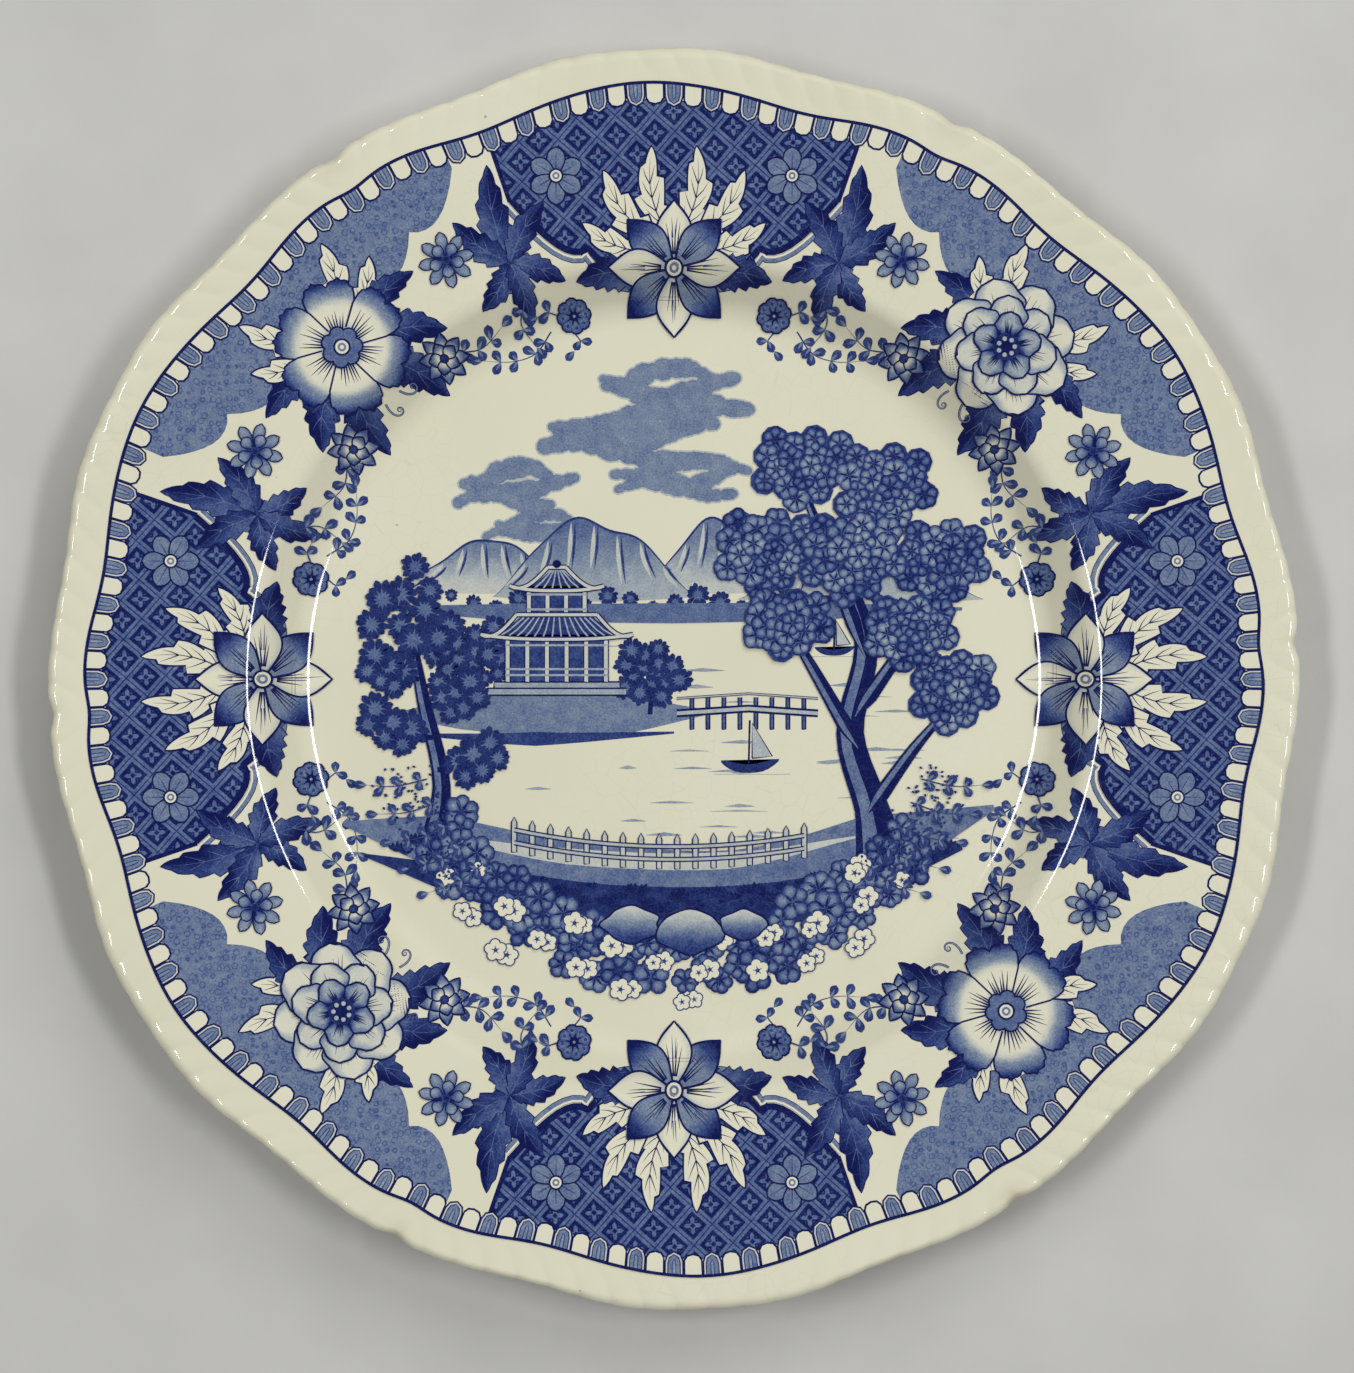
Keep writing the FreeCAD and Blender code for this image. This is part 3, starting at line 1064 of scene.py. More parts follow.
class Stack:
    """How many shapes already lie over each small square of the plan."""

    square = 1.1

    def __init__(self) -> None:
        """Start with bare glaze."""
        self.layers: dict[tuple[int, int], int] = {}

    def rest(self, places: Sequence[Point], faces: Sequence[Sequence[int]]) -> int:
        """The layer a new shape lies on; the squares under it are taken up to that layer.

        Args:
            places: the shape's points.
            faces: the shape's faces.

        Returns:
            The layer.
        """
        taken = set()
        for face in faces:
            xs = [places[index][0] for index in face]
            ys = [places[index][1] for index in face]
            for column in range(int(min(xs) // self.square), int(max(xs) // self.square) + 1):
                for row in range(int(min(ys) // self.square), int(max(ys) // self.square) + 1):
                    taken.add((column, row))
        layer = 1 + max((self.layers.get(key, 0) for key in taken), default=0)
        for key in taken:
            self.layers[key] = layer
        return layer


class Sheet:
    """One piece of the print: shapes laid on the glaze in the order they are drawn."""

    first_lift = 0.03
    layer_lift = 0.009
    part_lift = 0.0005  # between parts of one layer, in mm
    part_steps = 11
    bend_cell = 0.62  # longest step where the ware bends, in mm
    bend_before = 1.5  # how far inside the wall's foot the bends start
    bend_after = 2.5  # how far outside its shoulder they end
    grids: dict[tuple[int, int], list[tuple[int, ...]]] = {}

    def __init__(self, surface: Surface, stack: Stack, grow: float = 1.0) -> None:
        """Start an empty sheet over the surface, sharing the stack, its drawings grown by a share.

        Args:
            surface: the ware's surface.
            stack: what already lies on the glaze.
            grow: how much its drawings are enlarged.
        """
        self.surface = surface
        self.grow = grow
        self.stack = stack
        self.turn = 0.0
        self.points: list[tuple[float, float, float]] = []
        self.plans: list[Point] = []
        self.tones: list[float] = []
        self.faces: list[tuple[int, ...]] = []
        self.held: list[tuple] | None = None

    @contextmanager
    def together(self) -> Iterator[None]:
        """Lay everything drawn inside the block as one shape, on one layer."""
        self.held = []
        yield
        held, self.held = self.held, None
        plan, faces, tones, lifts = [], [], [], []
        for number, (points, runs, depths) in enumerate(held):
            start = len(plan)
            plan += points
            tones += depths
            lifts += [self.part_lift * (number % self.part_steps)] * len(points)
            faces += [tuple(start + index for index in run) for run in runs]
        if faces:
            self.lay(plan, faces, tones, lifts)

    def lay(self, plan: Sequence[Point], faces: Sequence[tuple[int, ...]], tones: Sequence[float],
            lifts: Sequence[float] | None = None) -> None:
        """Lay one shape, turned about the plate's middle by the sheet's turn.

        Args:
            plan: its points before the turn, in millimetres.
            faces: its faces, as runs of point numbers.
            tones: how deep the blue is at each point.
            lifts: how far each point stands over the shape's own layer, or None.
        """
        if self.held is not None:
            self.held.append((plan, faces, tones))
            return
        turn = math.radians(self.turn)
        cos, sin = math.cos(turn), math.sin(turn)
        plan = [(x * self.grow, y * self.grow) for x, y in plan]
        places = [(x * cos - y * sin, x * sin + y * cos) for x, y in plan]
        lift = self.first_lift + self.layer_lift * self.stack.rest(places, faces)
        start = len(self.points)
        for index, (x, y) in enumerate(places):
            height = self.surface.height(math.hypot(x, y)) + lift + (lifts[index] if lifts else 0.0)
            self.points.append((x * MM, y * MM, height * MM))
        self.plans += plan
        self.tones += tones
        for face in faces:
            area = sum(places[a][0] * places[b][1] - places[b][0] * places[a][1]
                       for a, b in zip(face, face[1:] + face[:1]))
            if abs(area) > 1e-6:
                self.faces.append(tuple(start + index for index in (face if area > 0 else face[::-1])))

    def bends(self, plan: Sequence[Point]) -> bool:
        """Whether a shape reaches the bends below or above the well's wall.

        Args:
            plan: the shape's points.

        Returns:
            Whether it does.
        """
        sizes = self.surface.sizes
        reach = [self.grow * math.hypot(x, y) for x, y in plan]
        near = sizes.floor_radius - self.bend_before
        far = sizes.floor_radius + sizes.cavetto_width + self.bend_after
        return max(reach) > near and min(reach) < far

    def grid(self, along: int, across: int) -> list[tuple[int, ...]]:
        """The faces of a flat grid, kept once for each size.

        Args:
            along: steps along it.
            across: steps across it.

        Returns:
            The faces.
        """
        if (along, across) not in self.grids:
            sample = bmesh.new()
            bmesh.ops.create_grid(sample, x_segments=along, y_segments=across, size=1.0)
            sample.verts.index_update()
            self.grids[along, across] = [tuple(v.index for v in face.verts) for face in sample.faces]
            sample.free()
        return self.grids[along, across]

    def warp(self, along: int, across: int, place: Callable[[float, float], Point], tone: ToneLike) -> None:
        """Lay a grid whose points are given by two shares, 0 to 1, along and across it.

        Args:
            along: steps along it.
            across: steps across it.
            place: gives the point at two shares.
            tone: its depth of blue.
        """
        corners = [place(u / 4, v) for u in range(5) for v in (0.0, 0.5, 1.0)]
        if self.bends(corners):
            length = sum(math.dist(corners[3 * k + 1], corners[3 * k + 4]) for k in range(4))
            width = max(math.dist(corners[3 * k], corners[3 * k + 2]) for k in range(5))
            along = max(along, math.ceil(length / self.bend_cell))
            across = max(across, math.ceil(width / self.bend_cell))
        plan, tones = [], []
        for row in range(across + 1):
            for column in range(along + 1):
                u, v = column / along, row / across
                plan.append(place(u, v))
                tones.append(tone(u, v) if callable(tone) else float(tone))
        self.lay(plan, self.grid(along, across), tones)

    def stroke(self, path: Sequence[Point], width: float, tone: float = Tone.DEEP,
               taper: Taper = Taper.NONE) -> None:
        """Draw a line of one width, or one that runs out to a point.

        Args:
            path: its points.
            width: its width.
            tone: its depth of blue.
            taper: which ends run to a point.
        """
        if self.bends(path):
            path = self.finer(path)
        last = len(path) - 1
        half = width / 2
        sides = []
        for side in (1.0, -1.0):
            rail = []
            for index, (x, y) in enumerate(beside(path, side * half)):
                share = index / last
                if taper is Taper.END:
                    keep = 1 - 0.88 * share ** 1.5
                elif taper is Taper.BOTH:
                    keep = 0.12 + 0.88 * math.sin(math.pi * share)
                else:
                    keep = 1.0
                cx, cy = path[index]
                rail.append((cx + (x - cx) * keep, cy + (y - cy) * keep))
            sides.append(rail)
        plan = sides[0] + sides[1]
        self.lay(plan, self.grid(last, 1), [float(tone)] * len(plan))

    def finer(self, path: Sequence[Point]) -> list[Point]:
        """The path with its long stretches cut up.

        Args:
            path: the path.

        Returns:
            The new path.
        """
        out = [path[0]]
        for (x0, y0), (x1, y1) in zip(path, path[1:]):
            cuts = max(1, math.ceil(math.dist((x0, y0), (x1, y1)) / self.bend_cell))
            out += [(x0 + (x1 - x0) * k / cuts, y0 + (y1 - y0) * k / cuts) for k in range(1, cuts + 1)]
        return out

    def blade(self, base: Point, tip: Point, half: float, shape: Shape = leaf, tone: ToneLike = Tone.STRONG,
              bend: float = 0.0, along: int = 10, outline: float = 0.0, edge: float = Tone.DEEP) -> None:
        """Lay a leaf or petal.

        Args:
            base: where it grows from.
            tip: its far end.
            half: its greatest half width.
            shape: half width share at a share along it, for either side.
            tone: its depth of blue, or a function of the shares along and across, -1 to 1.
            bend: how far its middle bows sideways, as a share of its length.
            along: steps along it.
            outline: width of the dark line round it, or 0 for none.
            edge: depth of that line.
        """
        dx, dy = tip[0] - base[0], tip[1] - base[1]
        length = math.hypot(dx, dy) or 1.0
        nx, ny = -dy / length, dx / length
        for grow, fill in ((outline, edge), (0.0, tone)):
            if grow == 0.0 and fill is edge and outline == 0.0:
                continue

            def place(u: float, v: float, grow: float = grow) -> Point:
                """The point at a place of the grid."""
                side = 2 * v - 1
                reach = u + (2 * u - 1) * grow / length
                wide = half * shape(u, side) + grow * min(1.0, 6 * u, 6 * (1 - u) + 0.35)
                bow = bend * length * math.sin(math.pi * u)
                return (base[0] + dx * reach + nx * (bow + side * wide),
                        base[1] + dy * reach + ny * (bow + side * wide))
            if callable(fill):
                self.warp(along, 4, place, lambda u, v: fill(u, 2 * v - 1))
            else:
                self.warp(along, 2, place, float(fill))

    def disc(self, centre: Point, radius: float, tone: float, rim: float | None = None,
             sides: int = 14) -> None:
        """Lay a round spot whose depth may change from its middle to its rim.

        Args:
            centre: its middle.
            radius: its radius.
            tone: its depth of blue.
            rim: depth at its rim, or None for the same.
            sides: how many sides it has.
        """
        rim = tone if rim is None else rim
        plan = [centre]
        tones = [float(tone)]
        for share, fill in ((0.55, tone + (rim - tone) * 0.35), (1.0, rim)):
            for k in range(sides):
                plan.append(out_from(centre, radius * share, 360 * k / sides))
                tones.append(float(fill))
        faces = [(0, 1 + k, 1 + (k + 1) % sides) for k in range(sides)]
        faces += [(1 + k, 1 + sides + k, 1 + sides + (k + 1) % sides,
                   1 + (k + 1) % sides) for k in range(sides)]
        self.lay(plan, faces, tones)

    def fill(self, outline: Sequence[Point], tone: ToneLike, cell: float = 0.0) -> None:
        """Lay a filled outline, cut into cells of the given size where it must follow a slope.

        Args:
            outline: its outline.
            tone: its depth of blue.
            cell: greatest size of its cells, or 0.
        """
        if self.bends(outline):
            cell = min(cell or self.bend_cell, self.bend_cell)
        area = bmesh.new()
        area.faces.new([area.verts.new((x, y, 0.0)) for x, y in outline])
        if cell:
            xs, ys = [p[0] for p in outline], [p[1] for p in outline]
            for axis, values in ((0, xs), (1, ys)):
                way = Vector((1, 0, 0)) if axis == 0 else Vector((0, 1, 0))
                for k in range(int(min(values) // cell) + 1, int(max(values) // cell) + 1):
                    bmesh.ops.bisect_plane(area, geom=area.verts[:] + area.edges[:] + area.faces[:],
                                           plane_co=way * k * cell, plane_no=way)
        bmesh.ops.triangulate(area, faces=area.faces[:], ngon_method="EAR_CLIP")
        area.verts.index_update()
        plan = [(v.co.x, v.co.y) for v in area.verts]
        tones = [tone(x, y) if callable(tone) else float(tone) for x, y in plan]
        self.lay(plan, [tuple(v.index for v in face.verts) for face in area.faces], tones)
        area.free()

    def finish(self, name: str, finish: Finish, slot: str) -> bpy.types.Object:
        """Turn everything drawn so far into one piece with the ware's own gloss and curve.

        Args:
            name: its name.
            finish: its finish.
            slot: passed on to add_piece, where it is not used.

        Returns:
            The piece.
        """
        mesh = bpy.data.meshes.new(name)
        mesh.from_pydata(self.points, [], self.faces)
        depth = mesh.attributes.new("tone", "FLOAT", "POINT")
        depth.data.foreach_set("value", self.tones)
        plan = mesh.uv_layers.new(name="plan")
        flat = [value for loop in mesh.loops for value in self.plans[loop.vertex_index]]
        plan.data.foreach_set("uv", flat)
        mesh.polygons.foreach_set("use_smooth", [True] * len(mesh.polygons))
        mesh.normals_split_custom_set_from_vertices(
            [self.surface.normal(x / MM, y / MM) for x, y, _ in self.points])
        return add_piece(name, mesh, finish.material, slot)


# ---------------------------------------------------------------- plants


class Plants:
    """Flowers, leaves and sprigs that any part of the print may use."""

    def __init__(self, sheet: Sheet, seed: int) -> None:
        """Draw on a sheet, with a random order of its own."""
        self.sheet = sheet
        self.random = random.Random(seed)

    def veined(self, base: Point, tip: Point, half: float, shape: Shape, tone: ToneLike, vein: float,
               bend: float = 0.0, pairs: int = 4, outline: float = 0.28, along: int = 16,
               width: float = 0.3) -> None:
        """A leaf with a midrib and paired side veins.

        Args:
            base: where it grows from.
            tip: its far end.
            half: its greatest half width.
            shape: its half width share.
            tone: its depth of blue.
            vein: depth of its veins.
            bend: how far it bows, as a share.
            pairs: how many pairs there are.
            outline: width of its outline.
            along: steps along it.
            width: width of its midrib.
        """
        sheet = self.sheet
        sheet.blade(base, tip, half, shape, tone, bend, along, outline)
        dx, dy = tip[0] - base[0], tip[1] - base[1]
        length = math.hypot(dx, dy)
        nx, ny = -dy / length, dx / length

        def at(u: float, side: float) -> Point:
            """The point at a share along the midrib, moved sideways."""
            bow = bend * length * math.sin(math.pi * u) + side
            return base[0] + dx * u + nx * bow, base[1] + dy * u + ny * bow
        sheet.stroke([at(0.02 + 0.86 * k / 6, 0.0) for k in range(7)], width, vein, Taper.END)
        for k in range(pairs):
            u = 0.16 + 0.6 * k / pairs
            for side in (-1, 1):
                reach = half * shape(min(u + 0.16, 0.95), side) * 0.72
                sheet.stroke([at(u, 0.0), at(u + 0.09, side * reach * 0.55), at(u + 0.19, side * reach)],
                             width * 0.8, vein, Taper.END)

    def pale_leaf(self, base: Point, tip: Point, half: float, bend: float = 0.0, lobes: float = 2.6,
                  pairs: int = 3) -> None:
        """A bare-glaze leaf with deep pointed lobes, a dark line round it and dark veins."""
        shape = toothed(max(2, round(lobes)), 0.5)
        self.veined(base, tip, half, shape, Tone.PAPER, Tone.DEEP, bend, pairs, 0.34, 20, 0.3)

    def dark_leaf(self, base: Point, tip: Point, half: float, bend: float = 0.0, teeth: int = 5) -> None:
        """A toothed leaf, deepest along one side, with paler veins.

        Args:
            base: where it grows from.
            tip: its far end.
            half: its greatest half width.
            bend: how far it bows, as a share.
            teeth: how many teeth a side.
        """
        def tone(u: float, v: float) -> float:
            """The depth of blue at a point."""
            return 0.98 - 0.24 * smooth(0.5 + 0.5 * v) - 0.1 * math.sin(6 * u)
        self.veined(base, tip, half, toothed(teeth, 0.34), tone, Tone.MID, bend, 3, 0.2, teeth * 4, 0.22)

    def rosette(self, centre: Point, radius: float, petals: int = 7, tone: float = Tone.MID) -> None:
        """A small round flower of joined petals about a dark star.

        Args:
            centre: its middle.
            radius: its radius.
            petals: how many petals it has.
            tone: its depth of blue.
        """
        sheet = self.sheet
        for k in range(petals):
            sheet.disc(out_from(centre, radius * 0.56, 360 * k / petals + 12), radius * 0.42, Tone.DEEP,
                       sides=10)
        for k in range(petals):
            turn = 360 * k / petals + 12
            sheet.disc(out_from(centre, radius * 0.56, turn), radius * 0.33, tone - 0.1, tone + 0.12,
                       sides=10)
            sheet.disc(out_from(centre, radius * 0.62, turn), radius * 0.1, Tone.STRONG, sides=6)
        for k in range(petals):
            tip = out_from(centre, radius * 0.5, 360 * (k + 0.5) / petals + 12)
            sheet.stroke([centre, tip], radius * 0.14, Tone.DEEP, Taper.END)
        sheet.disc(centre, radius * 0.2, Tone.DEEP, sides=8)
        sheet.disc(centre, radius * 0.08, Tone.WASH, sides=6)

    def sprig(self, path: Sequence[Point], size: float, pairs: int, tone: float = Tone.STRONG) -> None:
        """A thin stem with paired small leaves and one at its tip.

        Args:
            path: its points.
            size: its size.
            pairs: how many pairs there are.
            tone: its depth of blue.
        """
        sheet = self.sheet
        line = curve(path, 5)
        sheet.stroke(line, 0.32, Tone.STRONG, Taper.END)
        last = len(line) - 1
        for k in range(pairs):
            index = max(1, int(last * (k + 0.6) / (pairs + 0.3)))
            x, y = line[index]
            ahead = math.degrees(math.atan2(line[index][1] - line[index - 1][1],
                                            line[index][0] - line[index - 1][0]))
            for side in (-1, 1):
                reach = size * self.random.uniform(0.8, 1.1)
                tip = polar(reach, ahead + side * self.random.uniform(48, 66))
                self._leaflet((x, y), (x + tip[0], y + tip[1]), size, tone)
        ahead = math.degrees(math.atan2(line[-1][1] - line[-2][1], line[-1][0] - line[-2][0]))
        tip = polar(size, ahead)
        self._leaflet(line[-1], (line[-1][0] + tip[0], line[-1][1] + tip[1]), size, tone)

    def _leaflet(self, base: Point, tip: Point, size: float, tone: float) -> None:
        """A small plump leaf with a paler middle.

        Args:
            base: where it grows from.
            tip: its far end.
            size: its size.
            tone: its depth of blue.
        """
        self.sheet.blade(base, tip, size * 0.34, petal, tone, 0.0, 6)
        mid = ((base[0] + tip[0] * 2) / 3, (base[1] + tip[1] * 2) / 3)
        self.sheet.blade(base, mid, size * 0.1, leaf, Tone.SOFT, 0.0, 4)

    def fan_daisy(self, centre: Point, radius: float, angle: float, petals: int = 8,
                  spread: float = 300.0) -> None:
        """A daisy of narrow grey petals with dark edges, open over part of a turn.

        Args:
            centre: its middle.
            radius: its radius.
            angle: angle on the plan in degrees.
            petals: how many petals it has.
            spread: degrees it is spread over.
        """
        for ring, reach, count in ((0, 1.0, petals), (1, 0.62, petals - 3)):
            for k in range(count):
                turn = angle + spread * ((k + 0.5) / count - 0.5)
                self.sheet.blade(out_from(centre, radius * 0.12, turn),
                                 out_from(centre, radius * reach, turn),
                                 radius * 0.19, petal,
                                 lambda u, v: 0.78 - 0.42 * smooth(1.3 * u) + 0.2 * v * v, 0.0, 8, 0.22)
        self.sheet.disc(centre, radius * 0.16, Tone.DEEP, Tone.STRONG, sides=9)

    def hatch(self, centre: Point, inner: float, outer: float, angle: float, spread: float, count: int,
              width: float = 0.24, tone: float = Tone.DEEP) -> None:
        """Fine lines that run out of a flower's middle and taper away.

        Args:
            centre: its middle.
            inner: where it starts.
            outer: its reach.
            angle: angle on the plan in degrees.
            spread: degrees it is spread over.
            count: how many there are.
            width: its width.
            tone: its depth of blue.
        """
        for k in range(count):
            turn = angle + spread * ((k + 0.5) / count - 0.5)
            reach = outer * self.random.uniform(0.72, 1.0)
            a, b = polar(inner, turn), polar(reach, turn + self.random.uniform(-2, 2))
            self.sheet.stroke([(centre[0] + a[0], centre[1] + a[1]),
                               (centre[0] + (a[0] + b[0]) / 2, centre[1] + (a[1] + b[1]) / 2),
                               (centre[0] + b[0], centre[1] + b[1])], width, tone, Taper.END)

    @staticmethod
    def glow(centre: Point, radius: float, stops: Sequence[tuple[float, float]]) -> ToneLike:
        """A depth of blue that changes with the distance from a centre, by (share, tone) stops.

        Args:
            centre: its middle.
            radius: its radius.
            stops: (share, tone) of each stop.

        Returns:
            The depth at a point.
        """
        def tone(x: float, y: float) -> float:
            """The depth of blue at a point."""
            share = math.dist((x, y), centre) / radius
            before = stops[0]
            for stop in stops:
                if share <= stop[0]:
                    t = (share - before[0]) / ((stop[0] - before[0]) or 1.0)
                    return before[1] + (stop[1] - before[1]) * smooth(t)
                before = stop
            return stops[-1][1]
        return tone

    def open_flower(self, centre: Point, radius: float, petals: int = 8, start: float = 0.0) -> None:
        """A flower of pointed petals, every other one shaded to its tip, round an eye of rings.

        Args:
            centre: its middle.
            radius: its radius.
            petals: how many petals it has.
            start: its first angle.
        """
        sheet = self.sheet
        for number in range(petals):
            turn = start + 360 * number / petals
            if number % 2:
                tone: ToneLike = lambda u, v: 0.46 + 0.54 * smooth(2.1 * u
                                                                   - 1.0) - 0.1 * smooth(0.4 - abs(v))
            else:
                tone = lambda u, v: 0.6 * smooth(0.62 - 1.6 * u) + 0.14 * smooth(abs(v) * 1.6 - 0.8)
            sheet.blade(centre, out_from(centre, radius, turn), radius * 0.26, pointed_petal, tone, 0.0, 16,
                        0.4)
            self.hatch(centre, 2.6, radius * 0.7, turn, 26, 4, 0.34)
            self.hatch(centre, radius * 0.45, radius * 0.9, turn, 9, 2, 0.22, Tone.STRONG)
        for number in range(petals):
            turn = start + 360 * (number + 0.5) / petals
            sheet.blade(out_from(centre, radius * 0.15, turn), out_from(centre, radius * 0.36, turn),
                        radius * 0.063, petal, Tone.DEEP, 0.0, 6)
        self.eye(centre, radius * 0.15)

    def eye(self, centre: Point, radius: float) -> None:
        """The rings in the middle of an open flower."""
        for share, tone in ((1.0, Tone.DEEP), (0.76, Tone.PAPER), (0.5, Tone.SOFT), (0.24, Tone.PAPER)):
            self.sheet.disc(centre, radius * share, tone, sides=16)

    def full_flower(self, centre: Point, radius: float) -> None:
        """A full flower of three rings of waved petals, darker towards its heart.

        Args:
            centre: its middle.
            radius: its radius.
        """
        sheet = self.sheet
        x, y = centre
        for ring, (reach, count, base) in enumerate(((1.0, 8, 0.04), (0.74, 7, 0.1), (0.5, 5, 0.3))):
            for number in range(count):
                turn = 360 * (number + 0.5 * ring) / count + 11
                dx, dy = polar(radius * reach, turn)
                sheet.blade(centre, (x + dx, y + dy), radius * reach * 0.4, lobed(2.6, 0.16, petal),
                            lambda u, v: base + 0.8 * smooth(1.3 - 2.0 * u) + 0.3
                            * smooth(1.7 * abs(v) - 0.9),
                            0.0, 16, 0.36)
                self.hatch(centre, radius * reach * 0.35, radius * reach * 0.86, turn, 24, 5, 0.32)
        sheet.disc(centre, radius * 0.2, Tone.DEEP, 0.9, sides=16)
        for number in range(7):
            dx, dy = polar(radius * 0.12, 360 * number / 7)
            sheet.disc((x + dx, y + dy), radius * 0.035, Tone.MIST, sides=7)

    def wide_flower(self, centre: Point, radius: float, petals: int = 6) -> None:
        """An open flower of broad notched petals round a lobed blue middle.

        Args:
            centre: its middle.
            radius: its radius.
            petals: how many petals it has.
        """
        sheet = self.sheet
        x, y = centre
        step = 360 / petals
        light = ((0.0, 0.5), (0.24, 0.3), (0.4, 0.0), (0.62, 0.02), (0.82, 0.5), (1.0, 0.95))
        shade = self.glow(centre, radius, light)
        for number in range(petals):
            outline = []
            for k in range(25):
                across = 2 * k / 24 - 1
                notch = 0.12 * math.exp(-(across / 0.16) ** 2) + 0.035 * math.cos(9 * math.pi * across)
                reach = radius * (0.3 + 0.7 * (1 - across ** 4) ** 0.5 * (1 - notch))
                outline.append(polar(reach, step * (number + 0.56 * across) + 15))
            points = [(x + px, y + py) for px, py in [(0.0, 0.0)] + outline]
            sheet.fill(points, shade, 1.2)
            sheet.stroke(points[1:], 0.36, Tone.DEEP)
            self.hatch(centre, radius * 0.26, radius * 0.64, step * number + 15, 40, 6, 0.36)
        for size, tone in ((1.0, Tone.DEEP), (0.8, Tone.MID)):
            for number in range(petals + 1):
                dx, dy = polar(radius * 0.19, 360 * number / (petals + 1) + 20)
                sheet.disc((x + dx, y + dy), radius * 0.13 * size, tone, sides=12)
        sheet.disc(centre, radius * 0.2, Tone.MID, sides=18)
        self.eye(centre, radius * 0.13)

    def small_daisy(self, centre: Point, radius: float) -> None:
        """A small flower of two rings of bare petals tipped with blue.

        Args:
            centre: its middle.
            radius: its radius.
        """
        x, y = centre
        for ring, count, shift in ((1.0, 8, 10), (0.62, 5, 34)):
            for k in range(count):
                dx, dy = polar(radius * ring, 360 * k / count + shift)
                self.sheet.blade(centre, (x + dx, y + dy), radius * 0.24, pointed_petal,
                                 lambda u, v: 0.62 * smooth(1.9 * u - 0.7) + 0.2 * v * v, 0.0, 10, 0.3)
        self.sheet.disc(centre, radius * 0.2, Tone.STRONG, Tone.DEEP, sides=9)

    def tendril(self, start: Point, angle: float, size: float) -> None:
        """A thin stalk that curls up at its end.

        Args:
            start: where it starts.
            angle: angle on the plan in degrees.
            size: its size.
        """
        path = [start]
        heading, step = angle, size / 9
        for k in range(22):
            x, y = polar(step, heading)
            path.append((path[-1][0] + x, path[-1][1] + y))
            heading += 6 + 2.4 * k
            step *= 0.955
        self.sheet.stroke(path, 0.5, Tone.STRONG, Taper.END)
        self.sheet.stroke(path[:16], 0.2, Tone.WASH, Taper.END)


# ---------------------------------------------------------------- the border


@dataclass(frozen=True)
class BorderSizes:
    """How the border is shared out, in millimetres and degrees."""

    repeats: int = 4
    dentils: int = 96
    band_depth: float = 3.4
    panel_half: float = 19.0
    panel_reach: float = 83.5
    panel_rise: float = 19.0
    panel_scallops: int = 5
    panel_scallop: float = 3.4
    ground_half: float = 21.5
    ground_reach: float = 101.0
    ground_rise: float = 12.0
    ground_scallops: int = 6
    ground_scallop: float = 3.6
    flower: float = 13.2


